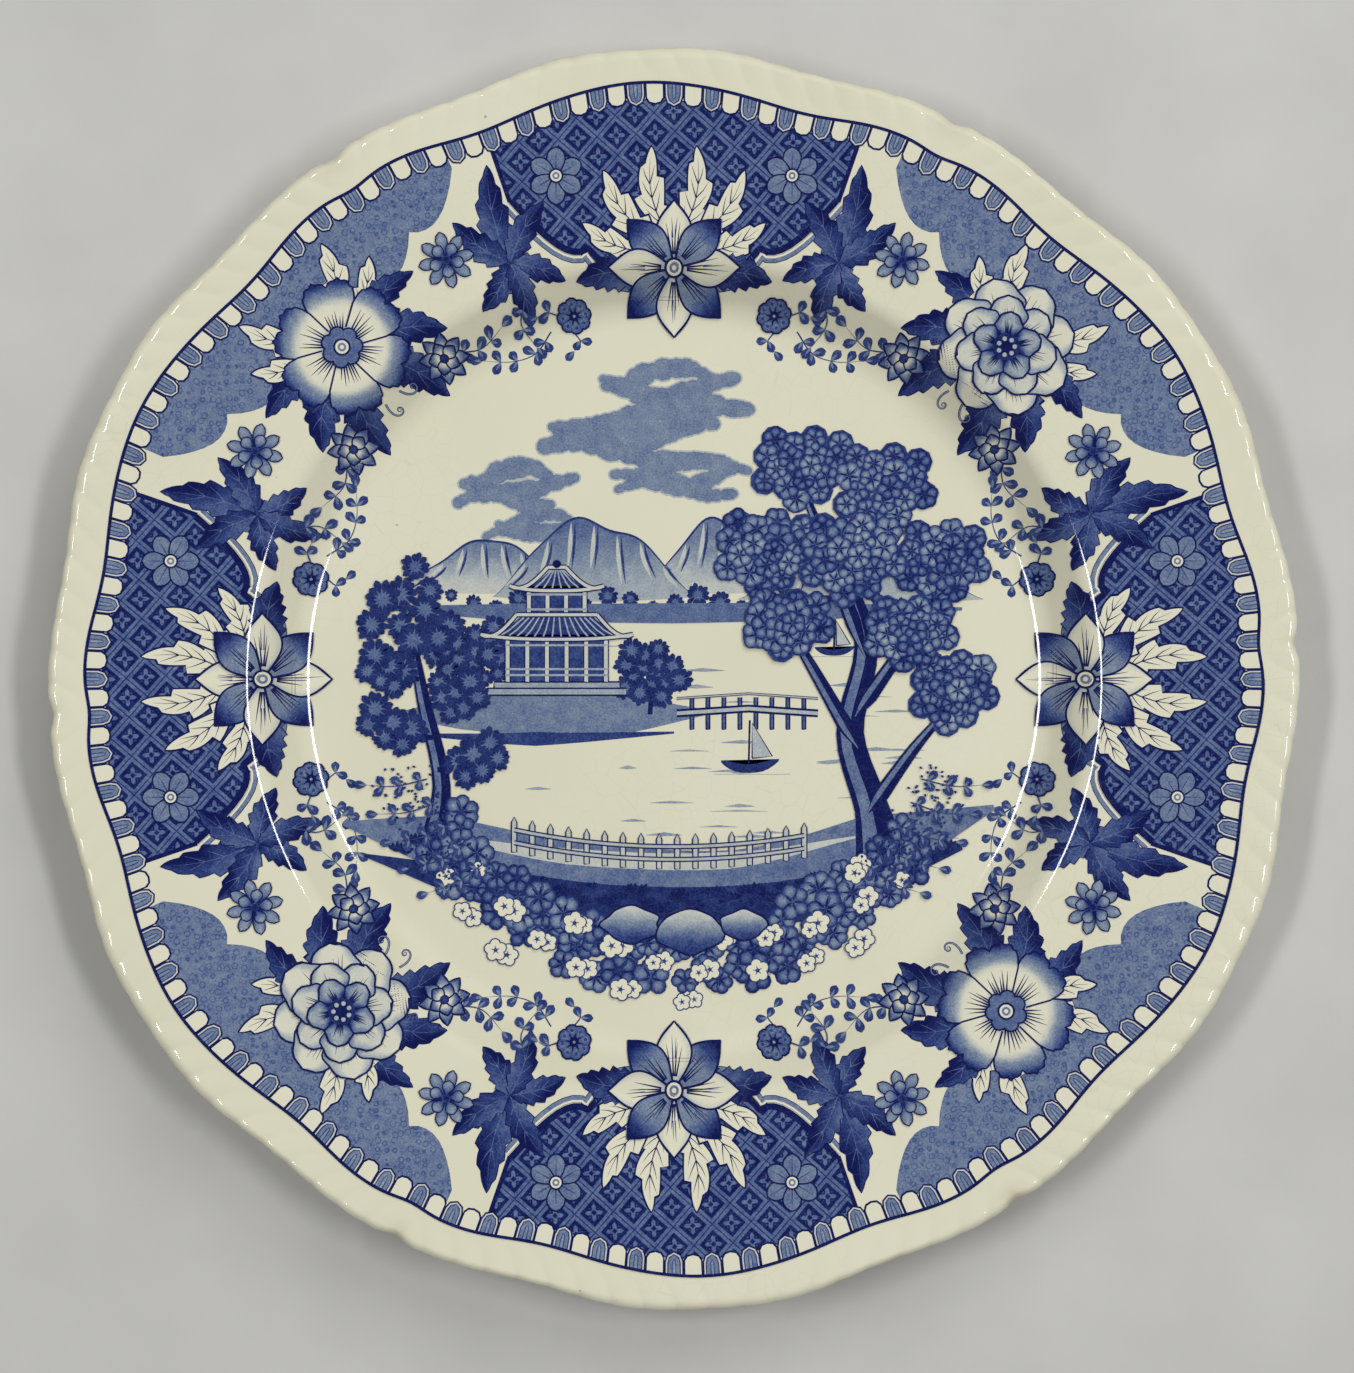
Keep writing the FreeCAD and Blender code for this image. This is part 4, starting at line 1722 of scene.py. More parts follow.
class BorderPrint:
    """The printed border: lattice panels and ringed grounds in turn, each with its own flowers."""

    panel_middle = 90.0
    ground_middle = 45.0

    def __init__(self, surface: Surface, effects: Effects, plain: PrintedGlaze, stack: Stack) -> None:
        """Start the border's sheets on a shared stack.

        Args:
            surface: the ware's surface.
            effects: the shared node groups.
            plain: finish of the pieces with no pattern.
            stack: what already lies on the glaze.
        """
        self.surface = surface
        self.sizes = BorderSizes()
        self.finishes = (plain, TrellisGlaze(effects), ScaleGlaze(effects), plain, plain)
        self.sheets = [Sheet(surface, stack) for _ in self.finishes]
        self.band, self.panels, self.grounds, self.blooms, self.sprays = self.sheets

    def build(self) -> list[bpy.types.Object]:
        """Draw the whole border and give its pieces."""
        s = self.sizes
        for number in range(s.repeats):
            turn = 360.0 * number / s.repeats
            for sheet in self.sheets:
                sheet.turn = turn
            self._ground(turn)
            self._panel(turn)
            self._between(Plants(self.sprays, number))
            self._panel_flowers(Plants(self.blooms, number))
            self._ground_flowers(Plants(self.sprays, number), number % 2 == 0)
        self.band.turn = 0.0
        self._dentils()
        pieces = []
        names = ("dentil_band", "trellis_panels", "scale_grounds", "panel_flowers", "ground_flowers")
        for name, sheet, finish in zip(names, self.sheets, self.finishes):
            piece = sheet.finish(name, finish, "border_blue")
            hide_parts("border_print")
            pieces.append(piece)
        return pieces

    def _by_line(self, angle: float, across: float, depth: float) -> Point:
        """A plan point beside the blue line: across it in mm along the band, depth in mm inward."""
        radius = self.surface.line_radius(angle)
        return polar(radius - depth, angle + math.degrees(across / radius))

    def _band_edge(self, turn: float, first: float, last: float) -> list[Point]:
        """Points along the inner side of the band, from one angle to another of a repeat.

        Args:
            turn: the repeat's turn.
            first: angle it starts at.
            last: angle it ends at.

        Returns:
            The points.
        """
        steps = max(2, int(abs(last - first) / 1.2))
        angles = [first + (last - first) * k / steps for k in range(steps + 1)]
        return [polar(self.surface.line_radius(angle + turn) - self.sizes.band_depth,
                      angle) for angle in angles]

    @staticmethod
    def _scalloped(middle: float, half: float, reach: float, rise: float, scallops: int,
                   depth: float) -> list[Point]:
        """A scalloped line round the plate, furthest in at its middle.

        Args:
            middle: angle of its middle.
            half: degrees to each of its ends.
            reach: radius of its cusps at the middle.
            rise: how much further out its ends lie.
            scallops: how many there are.
            depth: how far each stands in from its cusps.

        Returns:
            The line's points, from its right end to its left end.
        """
        steps = scallops * 8
        points = []
        for k in range(steps + 1):
            share = 2 * k / steps - 1
            cusp = abs(math.sin(math.pi * scallops * k / steps)) ** 0.8
            points.append(polar(reach + rise * abs(share) ** 2.4 - depth * cusp, middle + half * share))
        return points

    def _dentils(self) -> None:
        """The band of arches and blocks inside the blue line, and the line itself."""
        arch = ((-2.0, 0.0), (-2.0, 2.9), (-1.5, 4.2), (0.0, 4.9), (1.5, 4.2), (2.0, 2.9), (2.0, 0.0))
        block = ((-1.95, 0.0), (-1.95, 3.4), (-1.3, 4.3), (0.0, 4.6), (1.3, 4.3), (1.95, 3.4), (1.95, 0.0))
        pitch = 360.0 / self.sizes.dentils
        for index in range(self.sizes.dentils):
            middle = index * pitch
            self._inset(block, middle + pitch / 2, ((1.0, 0.0, Tone.DEEP), (0.84, 0.42, Tone.PAPER)))
            self._inset(arch, middle, ((1.0, 0.0, Tone.DEEP), (0.84, 0.34, 0.1), (0.7, 0.62, 0.86),
                                       (0.58, 0.84, Tone.SOFT), (0.24, 1.5, 0.74), (0.12, 1.7, 0.4)))
        steps, runs = 30, 24
        span = 360.0 / runs
        for run in range(runs):
            path = [self._by_line(span * (run + k / steps), 0.0, 0.1) for k in range(steps + 1)]
            self.band.stroke(path, 0.62, Tone.DEEP)

    def _inset(self, outline: Sequence[Point], middle: float, layers: Sequence[tuple]) -> None:
        """Fill an outline of the band over and over, narrower and shallower each time.

        Args:
            outline: (across, depth) points.
            middle: angle of its middle.
            layers: (narrowing, set-back, tone) of each.
        """
        for narrow, back, tone in layers:
            deepest = max(depth for _, depth in outline)
            scale = (deepest - back) / deepest
            self.band.fill([self._by_line(middle, across * narrow, depth * scale) for across,
                            depth in outline], tone)

    def _panel(self, turn: float) -> None:
        """The lattice panel with its dark inner line and the pale ribbon below it.

        Args:
            turn: the repeat's turn.
        """
        s = self.sizes
        line = self._scalloped(self.panel_middle, s.panel_half, s.panel_reach, s.panel_rise,
                               s.panel_scallops,
                               s.panel_scallop)
        for gap, width, tone in ((1.1, 1.5, Tone.DEEP), (1.15, 1.1, Tone.SOFT), (0.65, 0.45, Tone.PAPER)):
            self.blooms.stroke(beside(line, gap), width, tone)
        first, last = self.panel_middle - s.panel_half, self.panel_middle + s.panel_half
        band = self._band_edge(turn, last, first)
        self.panels.fill(line + band, Tone.MID, 1.6)
        for end in ([line[-1], band[0]], [line[0], band[-1]]):
            self.blooms.stroke(self.blooms.finer(end), 0.9, Tone.DEEP)
        self.blooms.stroke(beside(line, -0.45), 1.35, Tone.DEEP)

    def _ground(self, turn: float) -> None:
        """The ground of small rings along the band, between the panels.

        Args:
            turn: the repeat's turn.
        """
        s = self.sizes
        line = self._scalloped(self.ground_middle, s.ground_half, s.ground_reach, s.ground_rise,
                               s.ground_scallops,
                               s.ground_scallop)
        first, last = self.ground_middle - s.ground_half, self.ground_middle + s.ground_half
        self.grounds.fill(line + self._band_edge(turn, last, first), Tone.SOFT, 1.6)

    def _between(self, plants: Plants) -> None:
        """The dark sprays where a panel and a ground meet.

        Args:
            plants: what it is drawn with.
        """
        for side in (-1, 1):
            root = polar(91.0, self.panel_middle + side * 21.5)
            out = self.panel_middle + side * 21.5
            for lean, reach, half in ((-8, 20.0, 3.9), (34, 14.0, 3.3), (-50, 14.0, 3.2), (128, 11.0, 3.0),
                                      (-128, 11.5, 3.1), (176, 13.0, 2.8)):
                plants.dark_leaf(root, out_from(root, reach, out + side * lean), half, 0.06 * side, 5)
            plants.sprig([polar(radius, self.panel_middle + side * angle) for radius, angle in
                          ((76.0, 19.5), (73.0, 23.0), (73.5, 27.0), (76.5, 31.0))], 2.8, 4)
            bud = out_from(root, 13.0, out + side * 66)
            plants.sheet.stroke(curve([root, out_from(root, 7.0, out + side * 54), bud]), 0.6, Tone.STRONG)
            plants.fan_daisy(bud, 5.6, out + side * 60 + 180, 8, 360.0)
            plants.sprig([out_from(root, 8.0, out + 180), out_from(root, 12.0, out + 180 - side * 12),
                          out_from(root, 17.0, out + 180 - side * 4)], 2.9, 2)

    def _panel_flowers(self, plants: Plants) -> None:
        """The open flower at the foot of the panel, its pale leaves and the sprigs beside it.

        Args:
            plants: what it is drawn with.
        """
        heart = polar(84.0, self.panel_middle)
        up = self.panel_middle
        for side in (-1, 1):
            for lean, reach, half in ((10, 24.5, 3.6), (34, 24.0, 3.6), (60, 20.5, 3.4)):
                base = out_from(heart, 6.0, up + side * lean)
                plants.pale_leaf(base, out_from(heart, reach, up + side * lean * 1.08), half, 0.1 * side, 3,
                                 4)
            plants.dark_leaf(out_from(heart, 7.0, up + side * 104), out_from(heart, 20.0, up + side * 98),
                             4.0, -0.1 * side, 6)
            grown = {"tone": 0.52, "vein": Tone.STRONG, "outline": 0.3}
            aster = polar(105.0, up + side * 13.2)
            for k in range(6):
                plants.veined(aster, out_from(aster, 5.6, 60 * k + 30), 1.7, petal, pairs=1, **grown)
            plants.eye(aster, 1.5)
            rosette = polar(77.5, up + side * 15.4)
            plants.sprig([out_from(rosette, 3.2, up + side * 90), out_from(rosette, 5.6, up + side * 84),
                          out_from(rosette, 7.4, up + side * 92)], 2.7, 1)
            plants.sprig([out_from(rosette, 3.2, up + 180), out_from(rosette, 5.4, up + 180 + side * 14),
                          out_from(rosette, 7.0, up + 180)], 2.6, 1)
            plants.rosette(rosette, 3.8, 8)
        plants.open_flower(heart, self.sizes.flower, start=self.panel_middle)

    def _ground_flowers(self, plants: Plants, full: bool) -> None:
        """The large flower between two panels, with its leaves, buds and trailing sprigs.

        Args:
            plants: what it is drawn with.
            full: whether it is the full flower.
        """
        heart = polar(95.5, self.ground_middle)
        out = self.ground_middle
        back = out + 180
        for side in (-1, 1):
            for lean, reach, half in ((34, 21.0, 3.4), (62, 19.0, 3.2)):
                plants.pale_leaf(out_from(heart, 6.0, out + side * lean),
                                 out_from(heart, reach, out + side * lean),
                                 half, 0.1 * side, 3, 4)
            for lean, reach, half in ((22, 23.0, 4.2), (56, 21.5, 4.2), (92, 21.0, 3.6)):
                plants.dark_leaf(out_from(heart, 6.0, back + side * lean),
                                 out_from(heart, reach, back + side * lean),
                                 half, 0.1 * side, 6)
            daisy = out_from(heart, 20.5, back + side * 40)
            plants.sprig([out_from(daisy, 3.0, back + side * 70), out_from(daisy, 8.0, back + side * 62),
                          out_from(daisy, 13.5, back + side * 74)], 2.9, 3)
            plants.small_daisy(daisy, 4.9)
            plants.tendril(out_from(heart, 14.0, back + side * 8), back + side * 20, 5.4)
        (plants.full_flower if full else plants.wide_flower)(heart, self.sizes.flower + 0.6)


# ---------------------------------------------------------------- the centre scene


class Scenery(Plants):
    """Clouds, hills, trees and ground that the centre scene is drawn with."""

    def masses(self, runs: Sequence[Sequence[tuple[float, float, float]]], tone: float, edge: float,
               rough: float) -> None:
        """Several lumpy bands that run into one another, with one soft edge round them all.

        Args:
            runs: (x, y, radius) bands.
            tone: its depth of blue.
            edge: depth of its edge.
            rough: how uneven the spots are.
        """
        bands = []
        for nodes in runs:
            spots = []
            for (x0, y0, r0), (x1, y1, r1) in zip(nodes, nodes[1:]):
                count = max(1, math.ceil(math.dist((x0, y0), (x1, y1)) / (0.4 * min(r0, r1) + 0.25)))
                for k in range(count):
                    t = k / count
                    spots.append((x0 + (x1 - x0) * t, y0 + (y1 - y0) * t,
                                  (r0 + (r1 - r0) * t) * self.random.uniform(1 - rough, 1 + rough)))
            bands.append(spots + [nodes[-1]])
        for grow, fill in ((0.32, edge), (0.0, tone)):
            for spots in bands:
                with self.sheet.together():
                    for x, y, radius in spots:
                        self.sheet.disc((x, y), radius + grow, fill, sides=11)

    def burst(self, centre: Point, radius: float, count: int = 11, tone: float = Tone.STRONG,
              start: float = 0.0,
              spread: float = 360.0, half: float = 0.17, inner: float = 0.16) -> None:
        """Narrow leaves that stand out from a point.

        Args:
            centre: its middle.
            radius: its radius.
            count: how many there are.
            tone: its depth of blue.
            start: its first angle.
            spread: degrees it is spread over.
            half: half width of a leaf, as a share.
            inner: where the leaves start, as a share.
        """
        with self.sheet.together():
            for k in range(count):
                turn = start + spread * (k + 0.5) / count + self.random.uniform(-5, 5)
                reach = radius * self.random.uniform(0.86, 1.08)
                self.sheet.blade(out_from(centre, radius * inner, turn), out_from(centre, reach, turn),
                                 radius * half, petal, tone, 0.0, 5)

    def tuft(self, centre: Point, radius: float) -> None:
        """A dark ragged spot of leaves.

        Args:
            centre: its middle.
            radius: its radius.
        """
        with self.sheet.together():
            self.sheet.disc(centre, radius * 0.66, Tone.MID, sides=11)
        self.burst(centre, radius, 12, 0.9, self.random.uniform(0, 30), 360, 0.2, 0.3)
        self.burst(centre, radius * 0.62, 7, Tone.DEEP, self.random.uniform(0, 50), 360, 0.17, 0.1)

    def cabbage(self, centre: Point, radius: float, tone: float = 0.5) -> None:
        """A round leaf of puffed lobes with dark seams.

        Args:
            centre: its middle.
            radius: its radius.
            tone: its depth of blue.
        """
        sheet = self.sheet
        count = self.random.choice((5, 6, 6, 7))
        start = self.random.uniform(0, 60)
        lobes = []
        for k in range(count):
            x, y = polar(radius * 0.6, start + 360 * k / count + self.random.uniform(-9, 9))
            lobes.append((centre[0] + x, centre[1] + y, radius * self.random.uniform(0.36, 0.46)))
        with sheet.together():
            sheet.disc(centre, radius * 0.62, 0.86, sides=10)
            for x, y, size in lobes:
                sheet.disc((x, y), size + 0.2, 0.9, sides=10)
        with sheet.together():
            sheet.disc(centre, radius * 0.55, tone + 0.12, sides=10)
            for x, y, size in lobes:
                sheet.disc((x, y), size, tone - 0.16, tone + 0.3, sides=10)
        with sheet.together():
            for k in range(count):
                tip = polar(radius * self.random.uniform(0.55, 0.8), start + 360 * (k + 0.5) / count)
                sheet.blade(centre, (centre[0] + tip[0], centre[1] + tip[1]), radius * 0.07, leaf, 0.95,
                            0.0, 4)

    def clump(self, centre: Point, reach: Point, leaves: int = 17) -> None:
        """A rounded head of leaves over their own shade.

        Args:
            centre: its middle.
            reach: half its width and half its height.
            leaves: how many round leaves it has.
        """
        x, y = centre
        wide, tall = reach
        places = []
        for k in range(leaves):
            spread, turn = math.sqrt((k + 0.5) / leaves), math.degrees(2.4 * k)
            dx, dy = polar(spread, turn)
            places.append((x + wide * dx, y + tall * dy))
        with self.sheet.together():
            for place in places:
                self.sheet.disc(place, 2.7, Tone.DEEP, Tone.STRONG, sides=9)
        for place in reversed(places):
            self.cabbage(place, self.random.uniform(2.0, 2.8), self.random.uniform(0.42, 0.7))

    def blossom(self, centre: Point, radius: float, petals: int = 5) -> None:
        """A small bare flower with a dark line round it.

        Args:
            centre: its middle.
            radius: its radius.
            petals: how many petals it has.
        """
        start = self.random.uniform(0, 70)
        spots = [polar(radius * 0.55, start + 360 * k / petals) for k in range(petals)]
        for grow, fill in ((0.24, Tone.STRONG), (0.0, Tone.PAPER)):
            with self.sheet.together():
                for x, y in spots:
                    self.sheet.disc((centre[0] + x, centre[1] + y), radius * 0.42 + grow, fill, sides=9)
        with self.sheet.together():
            for x, y in spots:
                self.sheet.blade(centre, (centre[0] + x * 0.8, centre[1] + y * 0.8), 0.12, leaf, Tone.MID,
                                 0.0, 3)
            self.sheet.disc(centre, radius * 0.18, Tone.STRONG, sides=7)

    def dotted(self, path: Sequence[Point], reach: float, count: int, tone: float = 0.86) -> None:
        """A spray of tiny leaf dots about a path.

        Args:
            path: its points.
            reach: how far it reaches.
            count: how many there are.
            tone: its depth of blue.
        """
        line = curve(path, 6)
        with self.sheet.together():
            for _ in range(count):
                x, y = self.random.choice(line)
                x += self.random.uniform(-reach, reach)
                y += self.random.uniform(-reach, reach)
                way = polar(0.7, self.random.uniform(20, 160))
                self.sheet.blade((x, y), (x + way[0], y + way[1]), 0.24, petal, tone, 0.0, 4)

    def ribbon(self, nodes: Sequence[tuple[float, float, float]], tone: float) -> None:
        """A smooth band through (x, y, half width) nodes.

        Args:
            nodes: (x, y, half width) of each node.
            tone: its depth of blue.
        """
        line = curve([(x, y) for x, y, _ in nodes], 5)
        last = len(nodes) - 1

        def half(u: float) -> float:
            """The half width at a share along it."""
            place = u * last
            index = min(int(place), last - 1)
            return nodes[index][2] + (nodes[index + 1][2] - nodes[index][2]) * (place - index)
        left, right = (self._rail(line, half, side) for side in (1.0, -1.0))
        count = len(line) - 1
        self.sheet.warp(count, 1, lambda u, v: (right if v < 0.5 else left)[round(u * count)], tone)

    @staticmethod
    def _rail(line: Sequence[Point], half: Callable[[float], float], side: float) -> list[Point]:
        """One side of a band of changing width.

        Args:
            line: its middle line.
            half: half width at a share along it.
            side: 1 for its left, -1 for its right.

        Returns:
            The side's points.
        """
        last = len(line) - 1
        out = []
        for index, (x, y) in enumerate(line):
            x0, y0 = line[max(index - 1, 0)]
            x1, y1 = line[min(index + 1, last)]
            length = math.hypot(x1 - x0, y1 - y0) or 1.0
            reach = half(index / last) * side
            out.append((x - (y1 - y0) / length * reach, y + (x1 - x0) / length * reach))
        return out

    def area(self, points: Sequence[Point], tone: ToneLike, line: float = 0.0, edge: float = Tone.DEEP,
             per: int = 4) -> None:
        """A filled smooth closed outline, with a line round it where line is above 0.

        Args:
            points: its outline's points.
            tone: its depth of blue.
            line: width of the line round it, or 0.
            edge: depth of its edge.
            per: steps to a stretch.
        """
        outline = curve(points, per, closed=True)
        self.sheet.fill(outline, tone, 1.4 if callable(tone) else 0.0)
        if line:
            self.sheet.stroke(outline + outline[:2], line, edge)

    def block(self, points: Sequence[Point], tone: ToneLike, line: float = 0.24,
              edge: float = Tone.DEEP) -> None:
        """A filled straight-sided outline with a line round it.

        Args:
            points: its outline's points.
            tone: its depth of blue.
            line: width of the line round it, or 0.
            edge: depth of its edge.
        """
        self.sheet.fill(points, tone)
        if line:
            self.sheet.stroke(list(points) + list(points[:1]), line, edge)


def rising(low: float, high: float, bottom: float, top: float) -> ToneLike:
    """A depth of blue that changes evenly with the height on the plan."""
    return lambda _x, y: bottom + (top - bottom) * smooth((y - low) / (high - low))


class CentrePrint:
    """The lake view printed in the well, made up for this ware and of no real place."""

    reach = 64.0
    grow = 1.1

    def __init__(self, surface: Surface, finish: PrintedGlaze, stack: Stack) -> None:
        """Start the scene's sheets on the shared stack."""
        self.finish = finish
        self.sky, self.land, self.front = (Sheet(surface, stack, self.grow) for _ in range(3))

    def build(self) -> list[bpy.types.Object]:
        """Draw the scene from the back to the front and give its pieces."""
        self._clouds(Scenery(self.sky, 11))
        far = Scenery(self.land, 12)
        self._hills(far)
        self._water(far)
        self._island(far)
        self._garden_house(far, (-22.0, -3.0), 21.0)
        self._boats(far)
        near = Scenery(self.front, 13)
        self._bank(near)
        self._tufted_tree(near)
        self._great_tree(near)
        self._fence(near)
        self._flower_bed(near)
        pieces = []
        for name, sheet in (("scene_sky", self.sky), ("scene_land", self.land),
                            ("scene_front", self.front)):
            piece = sheet.finish(name, self.finish, "centre_blue")
            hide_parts("centre_print")
            pieces.append(piece)
        return pieces

    @staticmethod
    def _clouds(s: Scenery) -> None:
        """Long drifting clouds, each of a few lumpy bands, with one soft edge round them all.

        Args:
            s: what it is drawn with.
        """
        runs = []
        for x, y, length, fat in ((-30.0, 46.0, 38.0, 2.6), (-42.0, 36.0, 27.0, 2.0),
                                  (-14.0, 54.5, 30.0, 2.2),
                                  (-12.0, 38.0, 26.0, 1.7), (-36.0, 28.5, 18.0, 1.3)):
            for band in range(3):
                start = x + length * s.random.uniform(0.0, 0.3)
                end = x + length * s.random.uniform(0.6, 1.0)
                lift = y + fat * 1.15 * (band - 1)
                runs.append([(start + (end - start) * k / 5,
                              lift + fat * 0.8 * math.sin(1.1 * k + 2.1 * band)
                              + s.random.uniform(-0.6, 0.6),
                              fat * (0.3 + 0.6 * math.sin(math.pi * (k + 0.5) / 6))) for k in range(6)])
        s.masses(runs, 0.48, 0.2, 0.28)

    @staticmethod
    def _hill(s: Scenery, left: float, right: float, base: float, height: float, tone: float) -> None:
        """One hill: a shaded rise with bare gullies and dark ridges down its flank.

        Args:
            s: what it is drawn with.
            left: where its foot starts.
            right: where its foot ends.
            base: level of its foot.
            height: how far its top stands over its foot.
            tone: depth of blue at its top.
        """
        phase = s.random.uniform(0, 6)
        width = right - left

        def crest(t: float) -> Point:
            """The hill's outline at a share of its width."""
            swell = math.sin(math.pi * t) ** 1.3 * (1 + 0.12 * math.sin(7 * t + phase) + 0.05
                                                    * math.sin(19 * t))
            return left + width * t, base + height * swell
        steps = 40
        top = [crest(k / steps) for k in range(steps + 1)]
        foot = [(right - width * k / 10, base - 0.9 * math.sin(math.pi * k / 10)) for k in range(1, 10)]
        s.sheet.fill(top + foot, rising(base, base + height, tone - 0.28, tone + 0.1), 1.6)
        s.sheet.stroke(top, 0.45, 0.86, Taper.BOTH)
        for k in range(7):
            t = 0.16 + 0.68 * k / 6
            x, y = crest(t)
            fall = (y - base) * s.random.uniform(0.6, 0.85)
            lean = (t - 0.5) * 9 + s.random.uniform(-1, 1)
            gully = curve([(x, y - 0.6), (x + lean * 0.3, y - fall * 0.5), (x + lean, y - fall)])
            s.sheet.stroke(gully, 0.8, 0.16, Taper.BOTH)
            s.sheet.stroke(beside(gully, 0.75), 0.5, 0.84, Taper.BOTH)

    def _hills(self, s: Scenery) -> None:
        """The range across the lake, and the trees along its shore.

        Args:
            s: what it is drawn with.
        """
        for left, right, base, height, tone in ((-52.0, -20.0, 17.0, 9.0, 0.42),
                                                (-6.0, 24.0, 17.0, 12.0, 0.44),
                                                (-34.0, 4.0, 15.5, 15.5, 0.54),
                                                (12.0, 58.0, 15.0, 11.0, 0.5)):
            self._hill(s, left, right, base, height, tone)
        for k in range(22):
            s.tuft((-46.0 + 4.2 * k, 14.6 + 1.2 * math.sin(1.7 * k)), s.random.uniform(1.3, 2.3))
        s.ribbon([(-56.0, 13.4, 0.3), (-30.0, 12.6, 1.6), (0.0, 12.4, 1.9), (28.0, 12.8, 1.6),
                  (54.0, 13.2, 0.3)], 0.6)

    @staticmethod
    def _water(s: Scenery) -> None:
        """Short level ripples on the lake.

        Args:
            s: what it is drawn with.
        """
        for _ in range(46):
            x, y = s.random.uniform(-50, 48), s.random.uniform(-30, 9)
            length = s.random.uniform(3, 11)
            s.sheet.stroke([(x, y), (x + length / 2, y + 0.15), (x + length, y)],
                           s.random.uniform(0.3, 0.8), 0.34,
                           Taper.BOTH)

    @staticmethod
    def _island(s: Scenery) -> None:
        """A low island with trees behind the garden house and a plank bridge to the bank.

        Args:
            s: what it is drawn with.
        """
        s.ribbon([(-52.0, -6.6, 0.4), (-40.0, -6.4, 3.0), (-24.0, -6.6, 4.4), (-8.0, -6.6, 3.4),
                  (6.0, -6.2, 0.5)], 0.5)
        s.ribbon([(-48.0, -10.4, 0.2), (-26.0, -11.2, 1.3), (0.0, -10.0, 0.2)], 0.82)
        for x, y, wide, tall in ((-39.0, 2.5, 6.5, 7.0), (-4.5, 1.0, 6.0, 5.6), (-31.0, 6.5, 5.0, 4.0)):
            s.sheet.stroke(curve([(x, y - tall - 2), (x + 0.4, y)]), 0.9, Tone.DEEP)
            for k in range(15):
                spread = math.sqrt((k + 0.5) / 15)
                dx, dy = wide * spread * math.cos(2.4 * k), tall * spread * math.sin(2.4 * k)
                s.tuft((x + dx, y + dy), s.random.uniform(1.9, 2.7))
        for k in range(8):
            x = 3.0 + 3.0 * k
            s.block([(x, -9.4), (x + 0.7, -9.4), (x + 0.7, -3.4), (x, -3.4)], 0.7)
        for y, width in ((-6.4, 1.5), (-3.6, 0.5)):
            s.sheet.stroke([(0.5, y), (14.0, y + 0.9), (27.0, y)], width, Tone.DEEP)
            s.sheet.stroke([(0.5, y), (14.0, y + 0.9), (27.0, y)], width * 0.45, 0.2)

    def _garden_house(self, s: Scenery, foot: Point, width: float) -> None:
        """An open garden house of two storeys under curled roofs.

        Args:
            s: what it is drawn with.
            foot: the middle of its lowest step.
            width: across its lower storey.
        """
        x, y = foot
        for share, low, high in ((0.62, 0.0, 1.3), (0.56, 1.3, 2.5)):
            half = width * share
            s.block([(x - half, y + low), (x + half, y + low), (x + half, y + high), (x - half, y + high)],
                    0.3, 0.3)
        for share, floor, tall, posts in ((0.46, 2.5, 8.0, 6), (0.27, 14.6, 5.0, 4)):
            half = width * share
            base = y + floor
            s.block([(x - half, base), (x + half, base), (x + half, base + tall), (x - half, base + tall)],
                    0.8, 0.3)
            for k in range(posts):
                left = x - half + (2 * half - 0.9) * k / (posts - 1)
                s.block([(left, base), (left + 0.9, base), (left + 0.9, base + tall), (left, base + tall)],
                        0.12, 0.2)
            for rail in (0.16, 0.3, 0.86):
                s.sheet.stroke([(x - half, base + tall * rail), (x + half, base + tall * rail)], 0.4, 0.3)
        self._roof(s, (x, y + 10.5), width * 0.68, width * 0.36, 4.6)
        self._roof(s, (x, y + 19.6), width * 0.42, width * 0.08, 4.4)
        s.sheet.disc((x, y + 24.6), 0.8, Tone.DEEP, sides=10)

    @staticmethod
    def _roof(s: Scenery, foot: Point, half: float, ridge: float, rise: float) -> None:
        """A ribbed roof with curled eaves and bare edges.

        Args:
            s: what it is drawn with.
            foot: the middle of its eaves.
            half: from its middle to each eave.
            ridge: half the length of its ridge.
            rise: from eaves to ridge.
        """
        x, y = foot

        def slope(side: float) -> list[Point]:
            """One hollow slope, from eaves to ridge."""
            return [(x + side * (half + (ridge - half) * t),
                     y + rise * t - 1.1 * math.sin(math.pi * t) + 0.9 * (1 - t) ** 6)
                    for t in (k / 8 for k in range(9))]
        left, right = slope(-1.0), slope(1.0)
        eaves = [(x + half * (1 - k / 6), y + 0.9 * abs(1 - k / 6) ** 3) for k in range(1, 12)]
        s.sheet.fill(left + right[::-1] + eaves, 0.84)
        ribs = max(6, round(half * 1.1))
        with s.sheet.together():
            for k in range(ribs):
                t = 2 * (k + 0.5) / ribs - 1
                s.sheet.stroke([(x + ridge * t, y + rise - 0.5),
                                (x + (ridge * 0.4 + half * 0.55) * t, y + rise * 0.38),
                                (x + half * 0.94 * t, y + 0.5)], 0.28, 0.28)
        for width, tone in ((1.0, Tone.DEEP), (0.55, 0.12)):
            for path in (left, right, [left[-1], right[-1]], [right[0]] + eaves + [left[0]]):
                s.sheet.stroke(path, width, tone)

    @staticmethod
    def _boats(s: Scenery) -> None:
        """Two small sailing boats.

        Args:
            s: what it is drawn with.
        """
        for x, y, size in ((30.0, 5.5, 0.9), (14.0, -16.0, 1.3)):
            s.sheet.stroke([(x - 5 * size, y - 1.4 * size), (x + 6 * size, y - 1.4 * size)], 0.6, 0.42,
                           Taper.BOTH)
            s.area([(x - 4 * size, y + 0.6 * size), (x - 2 * size, y - 1.0 * size),
                    (x + 2 * size, y - 1.0 * size),
                    (x + 4.4 * size, y + 0.8 * size), (x, y)], 0.9)
            s.sheet.stroke([(x, y), (x + 0.2, y + 6.4 * size)], 0.35, Tone.DEEP)
            s.block([(x + 0.5 * size, y + 0.9 * size), (x + 3.4 * size, y + 1.2 * size),
                     (x + 0.5 * size, y + 6 * size)], 0.2)

